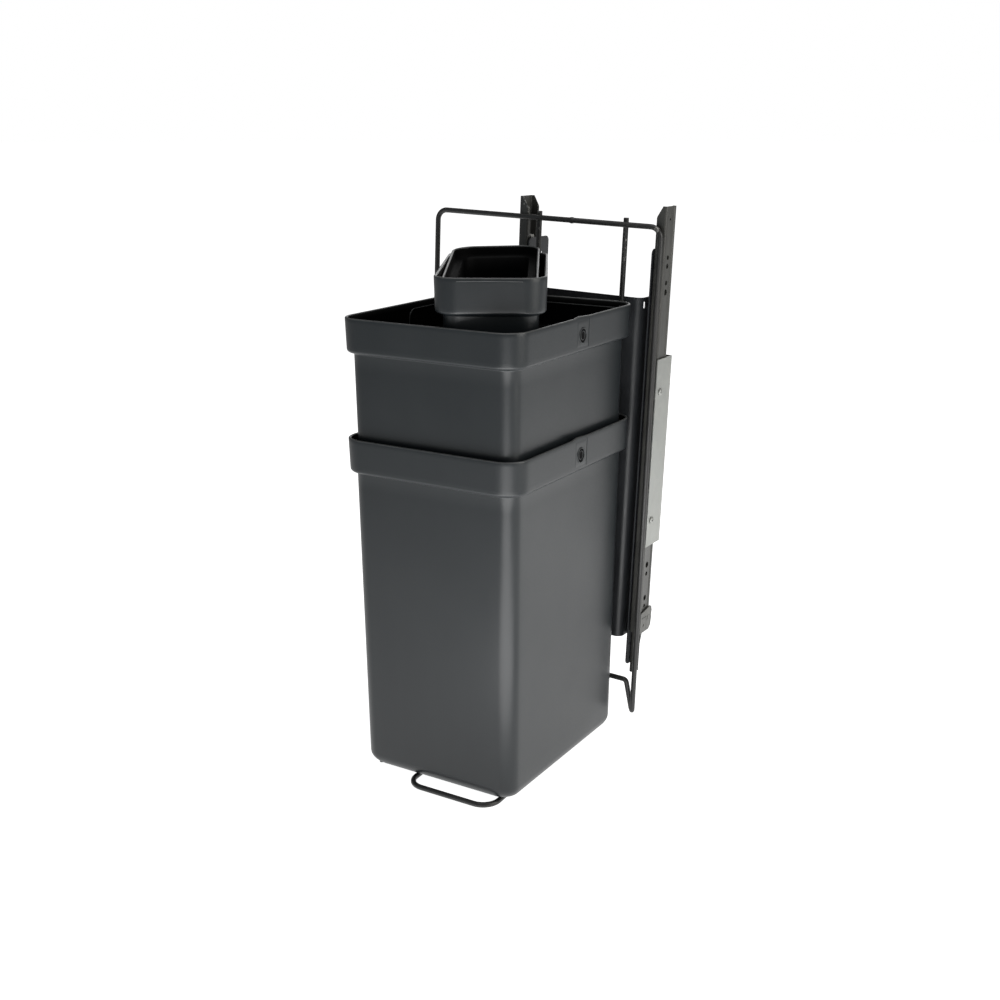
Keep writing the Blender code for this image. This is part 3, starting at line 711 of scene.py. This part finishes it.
def bin_corner_box(size, matrix):
    """Lowest and highest corner of a turned bin before it is put in place."""
    points = []
    for cut, corner, z, *_ in bin_profile(size):
        loop = rounded_loop(size["width"] - 2 * cut, size["depth"] - 2 * cut, corner, z, (12, 1, 1))
        points += [matrix @ (p * MM) for p in loop]
    low = Vector([min(p[i] for p in points) for i in range(3)])
    high = Vector([max(p[i] for p in points) for i in range(3)])
    return low, high


def collar_face(size, z):
    """Half width of the collar's side at a height in the bin's own millimetres."""
    shoulder = size["height"] - size["collar"]
    share = min(max((z - shoulder - 3.8) / (size["collar"] - 5.1), 0.0), 1.0)
    return size["width"] / 2 - 0.8 * (1 - share)


def pad_shape(size):
    """Slightly proud moulded pad on the collar's right side."""
    shoulder = size["height"] - size["collar"]
    low, high = shoulder + 5.0, size["height"] - 2.2
    rows = []
    across, up = 18, 12
    for i in range(up + 1):
        z = low + (high - low) * i / up
        row = []
        for k in range(across + 1):
            y = PAD_MIDDLE - PAD_WIDTH / 2 + PAD_WIDTH * k / across
            edge = min(k, across - k, i * 2, (up - i) * 2)
            proud = (-0.2, 0.16, 0.24)[min(edge, 2)]
            row.append(Vector((collar_face(size, z) + proud, y, z)))
        rows.append(row)
    points = [p for row in rows for p in row]
    count = across + 1
    base = len(points)
    faces = []
    for r in range(up):
        for i in range(across):
            quad = (r * count + i, r * count + i + 1, (r + 1) * count + i + 1, (r + 1) * count + i)
            faces += [quad, tuple(base + k for k in reversed(quad))]
    rim = list(range(across)) + [r * count + across for r in range(up)]
    rim += [up * count + across - i for i in range(across)] + [(up - r) * count for r in range(up)]
    faces += [(rim[i - 1], base + rim[i - 1], base + rim[i], rim[i]) for i in range(len(rim))]
    return points + [p - Vector((PAD_DEPTH, 0.0, 0.0)) for p in points], faces


def ring_loop(size, across, up, proud):
    """Oval on the pad, standing proud of the collar."""
    middle = size["height"] - size["collar"] / 2 - 0.6
    loop = []
    for k in range(RING_STEPS):
        a = 2 * math.pi * k / RING_STEPS
        y, z = PAD_MIDDLE - 0.5 + across * math.cos(a), middle + up * math.sin(a)
        loop.append(Vector((collar_face(size, z) + proud, y, z)))
    return loop


def ring_shape(size):
    """Plain moulded rings on the pad and the seam line behind it."""
    parts = []
    for across, up, thick in ((7.4, 7.8, 0.75), (4.2, 4.6, 0.45)):
        rows = tube(ring_loop(size, across, up, 0.24), thick, closed=True, sides=10)
        rows.append(rows[0])
        parts.append(skin(rows, False, False))
    foot = size["height"] - size["collar"] + 4.5
    seam = []
    for k in range(7):
        z = foot + 29.5 * k / 6
        seam.append(Vector((collar_face(size, z) + 0.1, PAD_MIDDLE + PAD_WIDTH / 2, z)))
    parts.append(skin(tube(seam, 0.3, sides=8)))
    return join(parts)


def recess_shape(size):
    """Floor of the ring, in the dark inside material as painted shade in the recess."""
    rows = ((1.0, -0.2), (1.0, 0.27), (0.6, 0.29), (0.05, 0.30))
    return skin([ring_loop(size, 7.0 * share, 7.4 * share, proud) for share, proud in rows])


def ridge_shape(size):
    """Thin ridge inside the back half of the rim, turned down at its front ends."""
    half_w = size["width"] / 2 - size["lip"] - 0.15
    half_d = size["depth"] / 2 - size["lip"] - 0.15
    z = size["height"] - RIDGE_DROP
    corners = [(-1, RIDGE_FRONT, z - 20.0), (-1, RIDGE_FRONT, z), (-1, half_d, z), (1, half_d, z),
               (1, RIDGE_FRONT, z), (1, RIDGE_FRONT, z - 20.0)]
    corners = [Vector((s * half_w, y, h)) for s, y, h in corners]
    path = rounded_path(corners, [0.0, 11.0, 21.0, 21.0, 11.0, 0.0])
    return skin(tube(path, 0.75, sides=10))


def line_shape(size):
    """Thin raised line under the front rim of the small bin."""
    z = size["height"] - 3.0
    y = -size["depth"] / 2
    along = [-32 + 64 * k / 16 for k in range(17)]
    line = [Vector((x, y + 0.15, z - 0.35 * (x / 32.0) ** 2)) for x in along]
    return skin(tube(line, 0.55, sides=10))


def place_bins():
    plain = Matrix.Identity(4)
    turned = Matrix.Rotation(math.radians(SMALL_TURN), 4, "Z")
    tilted = turned @ Matrix.Rotation(math.radians(-INSERT_ROLL), 4, "Y")
    tilted = tilted @ Matrix.Rotation(math.radians(INSERT_TILT), 4, "X")
    rows = (
        ("lower", LARGE, plain, "large_bin_lower", "lower_bin"),
        ("upper", LARGE, plain, "large_bin_upper", "upper_bin"),
        ("small", SMALL, turned, "small_bin", "small"),
        ("insert", INSERT, tilted, "insert_bin", "insert"),
    )
    for label, size, matrix, node, body in rows:
        mesh = bin_mesh(f"{label}_bin_shell", size, size is LARGE)
        shift = settle(mesh, matrix, size, node)
        add_piece(f"{label}_bin_shell", mesh, MATS["bin"], body, node)
        extras = []
        if size is LARGE:
            extras = [("collar_pad", pad_shape(size)), ("collar_ring", ring_shape(size)),
                      ("ring_floor_shade", recess_shape(size)), ("inner_ridge", ridge_shape(size))]
        if size is SMALL:
            extras = [("collar_line", line_shape(size))]
        for part, (points, faces) in extras:
            detail = make_mesh(f"{label}_{part}", points, faces)
            detail.transform(Matrix.Translation(shift) @ matrix)
            tidy(detail, 60.0)
            # Collar line and inner ridge get a large share of the pale edge colour as a painted highlight; the
            # other details get an even slight share
            value = {"collar_line": 0.6, "inner_ridge": 0.7}.get(part, 0.1)
            paint(detail, "rim", lambda p: value)
            mat = MATS["inside" if part == "ring_floor_shade" else "bin"]
            add_piece(f"{label}_{part}", detail, mat, body)


# Wires

# The railing's middle line in slide-frame millimetres: its sides, top and low cross bar, the
# hairpin feet's lowest point, how far a foot splays and spreads, and its turned inner leg
RAILING = {
    "left": -199.0, "right": 89.0, "top": 592.0, "bar": 63.4, "foot": 25.3, "n": -6.0,
    "splay": 4.0, "spread": 10.5, "turn": (3.9, 5.3),
}
# Upper ends (u, w) of the hoop wire's uprights, half the width of its loop and its rise
LEG_TIPS = ((-65.0, 599.0), (44.0, 599.0))
HOOP_HALF = 53.0
HOOP_RISE = 3.0


def place_railing():
    left, right, top, n = (RAILING[key] for key in ("left", "right", "top", "n"))
    splay, low = right + RAILING["splay"], RAILING["foot"]
    across, turned = RAILING["turn"][0], n + RAILING["turn"][1]
    corners = [
        (splay - RAILING["spread"], n, RAILING["bar"]), (splay - across, turned, low),
        (splay, n, low), (right, n, top), (left, n, top), (left, n, low),
        (left + across, turned, low), (left + RAILING["spread"], n, RAILING["bar"]),
    ]
    radii = [5.0, 3.1, 3.1, 12.0, 12.0, 3.1, 3.1, 5.0]
    path = rounded_path([Vector(c) for c in corners], radii, closed=True, steps=10)
    at = next(i for i, p in enumerate(path) if p.z > top - 0.01)
    steps = (3.6, 2.4, 1.3, 0.4, -0.4, -1.3, -2.4, -3.6)
    factors = (1.0, 1.06, 1.17, 1.22, 1.22, 1.17, 1.06, 1.0)
    weld = [Vector((-20.0 + d, n, top)) for d in steps]  # butt weld in the top bar
    path = path[:at + 1] + weld + path[at + 1:]
    swell = [1.0] * (at + 1) + list(factors) + [1.0] * (len(path) - at - 1 - len(weld))
    rows = tube(path, WIRE, closed=True, sides=24, swell=swell)
    rows.append(rows[0])
    mesh = slide_mesh("railing_wire", skin(rows, False, False))

    def wear(p):
        away = (p.x - right + 4.0) ** 2 + (p.z - top + 3.0) ** 2
        return 0.75 * math.exp(-away / 60.0)

    paint(mesh, "wear", wear)
    add_piece("railing_wire", mesh, MATS["wire"], "frame", "wire_railing")


def place_hoop():
    """Hoop wire: two uprights leaning with the frame, bent forward on the floor into a loop."""
    box_low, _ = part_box("hoop_wire")
    tops = [SLIDES @ Vector((u, 0.3, w)) / MM for u, w in LEG_TIPS]
    foot = SLIDES @ Vector((0.0, 0.0, 0.0)) / MM
    back, front = foot.y + 0.3, box_low.y / MM + WIRE
    corners = [
        tops[0], Vector((foot.x + LEG_TIPS[0][0], back, HOOP_RISE)),
        Vector((foot.x - HOOP_HALF, front, HOOP_RISE)), Vector((foot.x + HOOP_HALF, front, HOOP_RISE)),
        Vector((foot.x + LEG_TIPS[1][0], back, HOOP_RISE)), tops[1],
    ]
    path = rounded_path(corners, [0.0, 8.0, 19.0, 19.0, 8.0, 0.0], steps=12)
    for end, inner in ((0, 1), (-1, -2)):  # a short point at each end for its broken edge
        along = (path[inner] - path[end]).normalized()
        path.insert(1 if end == 0 else len(path) - 1, path[end] + along * 0.5)
    swell = [0.86] + [1.0] * (len(path) - 2) + [0.86]
    shape = skin(tube(path, WIRE - 0.04, sides=24, swell=swell))
    mesh = tidy(make_mesh("hoop_wire_bent", *shape))
    paint(mesh, "wear", lambda p: max(0.0, min(1.0, (p.z - 590.0) / 9.0)) * 0.6)
    add_piece("hoop_wire_bent", mesh, MATS["wire"], "frame", "hoop_wire")


def place_welds():
    """Weld beads: uprights to the railing's top and low bars, and to the tray's front."""
    parts = []
    for index, (u, _) in enumerate(LEG_TIPS):
        for side in (-1, 1):
            top = Vector((u + side * 2.6, -2.9, RAILING["top"] - 0.6))
            parts.append(bead(top, (1.7, 1.5, 2.3), 3.0 * index + side))
            base = Vector((u + side * 2.4, -2.9, RAILING["bar"] - 0.4))
            parts.append(bead(base, (1.6, 1.4, 2.1), 7.0 + 3.0 * index + side))
    for w in (505.0, 112.0):
        for u in (-61.0, 40.0):
            parts.append(bead(Vector((u, 3.2, w)), (1.8, 0.9, 4.5), 0.1 * u + w))
    mesh = slide_mesh("weld_beads", join(parts))
    paint(mesh, "wear", lambda p: 0.0)
    add_piece("weld_beads", mesh, MATS["wire"], "frame")


# Sheet parts

def place_tray():
    low, high = local_box("base_tray")
    lip_u = high.x - SHEET / 2
    wall_u = 67.0 - SHEET / 2
    front = low.y + SHEET / 2
    points = [
        (-lip_u, high.y), (-lip_u, 25.0), (-wall_u, 25.0), (-wall_u, front), (wall_u, front),
        (wall_u, 25.0), (lip_u, 25.0), (lip_u, high.y),
    ]
    outline = sheet_outline(points, [0.0, 2.0, 2.0, 8.0, 8.0, 2.0, 2.0, 0.0], SHEET, 9)
    mesh = drawn("base_tray_sheet", "base_tray", outline, 1, 10)
    cuts = [block_cut((-90.0, 10.4, 501.0), (90.0, 15.0, 508.2))]
    for w in TRAY_RIVET_W:
        for side in (-1, 1):
            cuts.append(round_cut(side * lip_u, TRAY_RIVET_N, w, BORE, 3.0))
    mesh = carve(mesh, cuts, 0.25)
    paint(mesh, "wear", lambda p: max(0.0, 1.0 - abs(p.z - high.z) / 3.0) * 0.5)
    add_piece("base_tray_sheet", mesh, MATS["sheet"], "frame", "base_tray")


def place_cheeks():
    for label, side in SIDES:
        node = f"{label}_cheek_plate"
        low, high = local_box(node)
        u0 = low.x if side > 0 else high.x
        corners = [
            (low.y, low.z), (30.0, low.z), (high.y, low.z + 46.0), (high.y, high.z), (low.y, high.z),
        ]
        line = [Vector((n, w, 0.0)) for n, w in corners]
        line = rounded_path(line, [6.0, 5.0, 8.0, 6.0, 6.0], closed=True, steps=8)
        outline = [(p.x, p.y) for p in line]
        mesh = slide_mesh(node + "_sheet", prism(outline, lambda a, b, t: (u0 + side * t, a, b), SHEET))
        middle = u0 + side * SHEET / 2
        holes = [(30.5, 549.0, 2.2), (4.6, 105.0, 1.5)]
        holes += [(TRAY_RIVET_N, w, BORE) for w in TRAY_RIVET_W]
        holes += [(SLIDE_MID, w, BORE) for w in SLIDE_RIVET_W]
        mesh = carve(mesh, [round_cut(middle, n, w, r, 3.0) for n, w, r in holes], 0.25)
        paint(mesh, "wear", lambda p: max(0.0, 1.0 - abs(p.z - high.z) / 6.0) * 0.5)
        add_piece(node + "_sheet", mesh, MATS["sheet"], "frame", node)


def place_mounting_plates():
    for label, side in SIDES:
        node = f"{label}_mounting_plate"
        low, high = local_box(node)
        outer = max(abs(low.x), abs(high.x)) - SHEET / 2
        inner = min(abs(low.x), abs(high.x))
        back = high.y - SHEET / 2
        line = [(outer, low.y), (outer, back), (inner, back)]
        outline = sheet_outline(line, [0.0, 2.0, 0.0], SHEET, 8)
        mesh = drawn(node + "_sheet", node, outline, side, 4)
        cuts = [round_cut(side * outer, SCREW_N, w, BORE, 3.0) for w in SCREW_W]
        for w in (low.z + 25.0, high.z - 25.0):
            span = sorted((side * 83.0, side * 88.0))
            cuts.append(block_cut((span[0], 30.0, w - 2.4), (span[1], 44.0, w + 2.4)))
        mesh = carve(mesh, cuts, 0.22)
        body = f"{label}_cabinet_side"
        add_piece(node + "_sheet", mesh, MATS["zinc"], body, node)


# Slides

def channel(web, edge, near, far, thick, radius, steps):
    """Outline of a plain channel between its web and the free edges of its flanges."""
    mid = web - math.copysign(thick / 2, web - edge)
    low, high = near + thick / 2, far - thick / 2
    line = [(edge, low), (mid, low), (mid, high), (edge, high)]
    return sheet_outline(line, [0.0, radius, radius, 0.0], thick, steps), mid


def member_piece(node, outline, side, body, cuts, wear):
    """Slide member drawn out of its section over its CAD node's length."""
    name = f"{node}_rail"
    mesh = carve(drawn(name, node, outline, side, 12), cuts, 0.18)
    paint(mesh, "wear", wear)
    add_piece(name, mesh, MATS["slide"], body, node)


def place_outer(label, side):
    """Outer member with a sunk web, rolled flanges, cut upper corners and its row of holes."""
    node = f"{label}_outer_member"
    low, high = local_box(node)
    half = RAIL / 2
    web = max(abs(low.x), abs(high.x)) - half
    edge = min(abs(low.x), abs(high.x)) + half
    back = high.y - half
    line = [
        (edge, 4.1), (edge, half), (web, half), (web, 4.6), (web - 0.75, 5.6),
        (web - 0.75, high.y - 5.6), (web, high.y - 4.6), (web, back), (edge, back),
        (edge, high.y - 4.1),
    ]
    outline = sheet_outline(line, [0.0, 1.2, 2.2, 0.6, 0.6, 0.6, 0.6, 2.2, 1.2, 0.0], RAIL, 6)
    top = high.z
    corner = [
        (edge - 2.6, top - 16.0), (edge - 0.6, top - 13.0), (edge + 7.4, top + 1.0),
        (edge - 2.6, top + 1.0),
    ]
    cuts = [slide_mesh("cut", prism(corner, lambda a, b, t: (side * a, t - 4.0, b), high.y + 8.0))]
    cuts += [round_cut(side * web, SLIDE_MID - 1.0, w, r, 2.2) for w, r in WEB_HOLES]
    cuts += [round_cut(side * web, SCREW_N, w, BORE, 2.2) for w in SCREW_W]

    def wear(p):
        """Bare along the cut corner, and rubbed towards the lower end."""
        cut = 0.87 * (abs(p.x) - edge + 0.6) - 0.5 * (p.z - top + 13.0)
        nose = max(0.0, 1.0 - abs(cut) / 2.4) * 0.7 if p.z > top - 18.0 else 0.0
        tail = max(0.0, 1.0 - (p.z - low.z) / 30.0) * 0.45
        return max(nose, tail)

    member_piece(node, outline, side, f"{label}_cabinet_side", cuts, wear)


def place_members(label, side):
    """Middle and inner member; the inner one has the bores of its rivets."""
    outline, _ = channel(89.2, 80.6, 4.6, 21.4, RAIL, 1.6, 6)
    member_piece(f"{label}_middle_member", outline, side, f"{label}_middle", [], lambda p: 0.12)
    outline, mid = channel(78.9, 86.3, 8.0, 18.0, RAIL, 1.4, 6)
    cuts = [round_cut(side * mid, SLIDE_MID, w, BORE, 2.0) for w in SLIDE_RIVET_W]
    member_piece(f"{label}_inner_member", outline, side, "frame", cuts, lambda p: 0.12)


def place_cages(label, side):
    """Ball cages and their balls; a row has the section, sheet, and balls' u, n and radius."""
    rows = (
        ("outer", (89.8, 84.4, 1.6, 24.4), 0.4, 85.8, (2.9, 23.1), 1.45),
        ("inner", (87.6, 81.0, 6.3, 19.7), 0.6, 82.6, (6.9, 19.1), 1.05),
    )
    for part, section, thick, ball_u, ball_n, ball in rows:
        node, body = f"{label}_{part}_ball_cage", f"{label}_{part}_cage"
        low, _ = local_box(node)
        outline, _ = channel(*section, thick, 0.8, 5)
        mesh = carve(drawn(f"{node}_strip", node, outline, side, 2), [], 0.1)
        add_piece(f"{node}_strip", mesh, MATS["cage"], body, node)
        parts = []
        for k in range(9):
            w = low.z + 8.0 + 13.0 * k
            for n in ball_n:
                bm = bmesh.new()
                bmesh.ops.create_icosphere(bm, subdivisions=2, radius=ball)
                shift = Vector((side * ball_u, n, w))
                parts.append(([shift + v.co for v in bm.verts],
                              [tuple(v.index for v in f.verts) for f in bm.faces]))
                bm.free()
        balls = slide_mesh(f"{node}_balls", join(parts))
        add_piece(f"{node}_balls", balls, MATS["ball"], body)


def flat_outline(corners, radii, steps):
    """Closed outline with rounded corners, as pairs."""
    line = rounded_path([Vector((a, b, 0.0)) for a, b in corners], radii, closed=True, steps=steps)
    return [(p.x, p.y) for p in line]


def place_stop(label, side):
    """Plastic end stop with a pressed groove and dimple."""
    node = f"{label}_end_stop"
    low, high = local_box(node)
    corners = [(low.y, low.z), (high.y, low.z), (high.y, high.z), (low.y, high.z)]
    outline = flat_outline(corners, [1.2, 1.2, 2.6, 2.6], 6)
    shape = prism(outline, lambda a, b, t: (low.x + t, a, b), high.x - low.x)
    face_u = high.x if side > 0 else low.x
    groove_low = (face_u - 1.2, low.y + 1.8, low.z + 3.0)
    groove_high = (face_u + 1.2, high.y - 1.8, low.z + 5.0)
    cuts = [block_cut(groove_low, groove_high), round_cut(face_u, SLIDE_MID, high.z - 5.5, 1.5, 1.6)]
    mesh = carve(slide_mesh(node + "_clip", shape), cuts, 0.4)
    paint(mesh, "rim", lambda p: 0.2)
    add_piece(node + "_clip", mesh, MATS["stop"], "frame", node)


def place_hook(label, side):
    """Stamped end hook at the outer member's foot, with shallow pressed marks."""
    node = f"{label}_end_hook"
    low, high = local_box(node)
    base, back = low.z + 1.0, 26.0
    shape = [
        (low.y, base - 1.0), (back - 3.0, base - 1.0), (back + 1.5, base + 3.0),
        (back + 3.0, base + 12.0), (back + 2.4, base + 16.0), (back + 3.4, base + 21.0),
        (back + 1.6, base + 26.0), (back - 1.0, base + 28.0), (low.y, base + 24.0),
    ]
    outline = flat_outline(shape, [1.0, 2.0, 3.0, 3.0, 2.0, 2.0, 2.0, 1.5, 1.0], 5)
    thick = high.x - low.x
    u0 = low.x if side > 0 else high.x
    shape = prism(outline, lambda a, b, t: (u0 + side * t, a, b), thick)
    face = u0 + side * thick
    cuts = [
        round_cut(face, 17.0, base + 15.0, 2.6, 0.5), round_cut(face, 8.0, base + 8.0, 1.7, 0.5),
        block_cut((face - 0.4, 3.0, base + 17.0), (face + 0.4, 21.0, base + 18.4)),
    ]
    mesh = carve(slide_mesh(node + "_stamping", shape), cuts, 0.3)
    paint(mesh, "wear", lambda p: 0.45)
    body = f"{label}_cabinet_side"
    add_piece(node + "_stamping", mesh, MATS["worn"], body, node)


# Fasteners

def fastener_span(node, side):
    """A fastener's inner and outer end along u, and its middle in n and w."""
    low, high = local_box(node)
    ends = (low.x, high.x) if side > 0 else (-high.x, -low.x)
    return *ends, (low.y + high.y) / 2, (low.z + high.z) / 2


def place_screw(node, side, body):
    """Pan head screw with a cross recess."""
    tip, top, n0, w0 = fastener_span(node, side)
    head = top - 1.7
    profile = [
        (tip, 1.7), (tip + 0.3, 2.0), (head, 2.0), (head, 3.7), (head + 0.15, 4.0),
        (head + 0.5, 4.0), (head + 1.0, 3.75), (head + 1.4, 3.1), (head + 1.62, 2.0), (top, 0.6),
    ]
    shape = lathe(profile, lambda t, a, b: (side * t, n0 + a, w0 + b), 32)
    cuts = []
    for wide, tall in ((0.45, 1.9), (1.9, 0.45)):
        span = sorted((side * (top - 1.0), side * (top + 0.5)))
        cuts.append(block_cut((span[0], n0 - wide, w0 - tall), (span[1], n0 + wide, w0 + tall)))
    mesh = carve(slide_mesh(node + "_head", shape), cuts, 0.08)
    add_piece(node + "_head", mesh, MATS["zinc"], body, node)


def place_rivet(node, side):
    """Domed rivet with its closed end."""
    start, end, n0, w0 = fastener_span(node, side)
    profile = [
        (start, 0.6), (start + 0.1, 1.6), (start + 0.45, 2.8), (start + 0.9, 3.5),
        (start + 1.3, 3.6), (start + 1.3, 2.0), (end - 0.9, 2.0), (end - 0.9, 3.15),
        (end - 0.5, 3.2), (end - 0.2, 2.6), (end, 1.4), (end, 0.5),
    ]
    mesh = slide_mesh(node + "_shank", lathe(profile, lambda t, a, b: (side * t, n0 + a, w0 + b)))
    add_piece(node + "_shank", mesh, MATS["rivet"], "frame", node)


def place_slides():
    for label, side in SIDES:
        place_outer(label, side)
        place_members(label, side)
        place_cages(label, side)
        place_stop(label, side)
        place_hook(label, side)
        for index in (1, 2):
            place_screw(f"{label}_plate_screw_{index}", side, f"{label}_cabinet_side")
            place_rivet(f"{label}_tray_rivet_{index}", side)
            place_rivet(f"{label}_slide_rivet_{index}", side)


# Studio

def area_light(name, place, aim, size, power, colour=(1.0, 1.0, 1.0)):
    """Soft light turned towards a point; metres and watts."""
    data = bpy.data.lights.new(name, "AREA")
    data.shape = "RECTANGLE"
    data.size, data.size_y = size
    data.energy = power
    data.color = colour
    obj = add_object(name, data)
    obj.location = place
    obj.rotation_euler = (Vector(aim) - Vector(place)).to_track_quat("-Z", "Y").to_euler()
    obj.visible_camera = False
    return obj


def floor_panel(name, place, along, size, power):
    """Light panel lying on the floor, face up, its long side along a direction."""
    obj = area_light(name, (place[0], place[1], 0.004), (place[0], place[1], 1.0), size, power)
    obj.rotation_euler = (math.pi, 0.0, math.atan2(along[1], along[0]) - math.pi / 2)


def studio():
    """White world and floor, which look white to the camera and light the set less, and lights."""
    world = bpy.data.worlds.new("studio_white")
    bpy.context.scene.world = world
    world.use_nodes = True
    tree = world.node_tree
    back = tree.nodes["Background"]
    path = tree.nodes.new("ShaderNodeLightPath")
    level = tree.nodes.new("ShaderNodeMapRange")
    level.inputs["To Min"].default_value = WORLD_GLOW
    level.inputs["To Max"].default_value = 1.0
    tree.links.new(path.outputs["Is Camera Ray"], level.inputs["Value"])
    tree.links.new(level.outputs[0], back.inputs["Strength"])
    back.inputs["Color"].default_value = (1.0, 1.0, 1.0, 1.0)
    data = bpy.data.meshes.new("studio_floor")
    bm = bmesh.new()
    bmesh.ops.create_circle(bm, cap_ends=True, segments=96, radius=30.0)
    bm.to_mesh(data)
    bm.free()
    floor = add_object("studio_floor", data)
    data.materials.append(floor_finish())
    floor_panel("corner_panel", (0.49, -0.83), (0.46, -0.89), (0.72, 1.2), 9.6)
    floor_panel("right_panel", (1.23, 1.92), (0.53, 0.85), (1.05, 3.4), 4.9)
    area_light("side_softbox", (2.0, 0.1, 1.0), (0.0, 0.0, 0.3), (1.2, 1.5), 18.0, (1.0, 0.98, 0.93))
    area_light("front_fill", (-1.3, -2.3, 1.3), (0.0, 0.0, 0.3), (1.6, 1.6), 2.3, (0.66, 0.88, 1.0))
    area_light("top_softbox", (0.2, -0.2, 2.4), (0.0, 0.0, 0.2), (1.8, 1.8), 13.0)
    area_light("back_softbox", (-0.9, 2.2, 1.3), (0.0, 0.0, 0.35), (1.4, 1.4), 8.0)


def camera():
    data = bpy.data.cameras.new("photo_camera")
    data.sensor_width = 36.0
    data.lens = CAMERA_LENS
    obj = add_object("photo_camera", data)
    obj.location = CAMERA_PLACE
    obj.rotation_euler = (math.radians(90.0 - CAMERA_PITCH), 0.0, math.radians(CAMERA_YAW))
    bpy.context.scene.camera = obj
    bpy.context.scene.view_settings.view_transform = "Standard"


camera()
place_bins()
place_railing()
place_hoop()
place_welds()
place_tray()
place_cheeks()
place_mounting_plates()
place_slides()
studio()
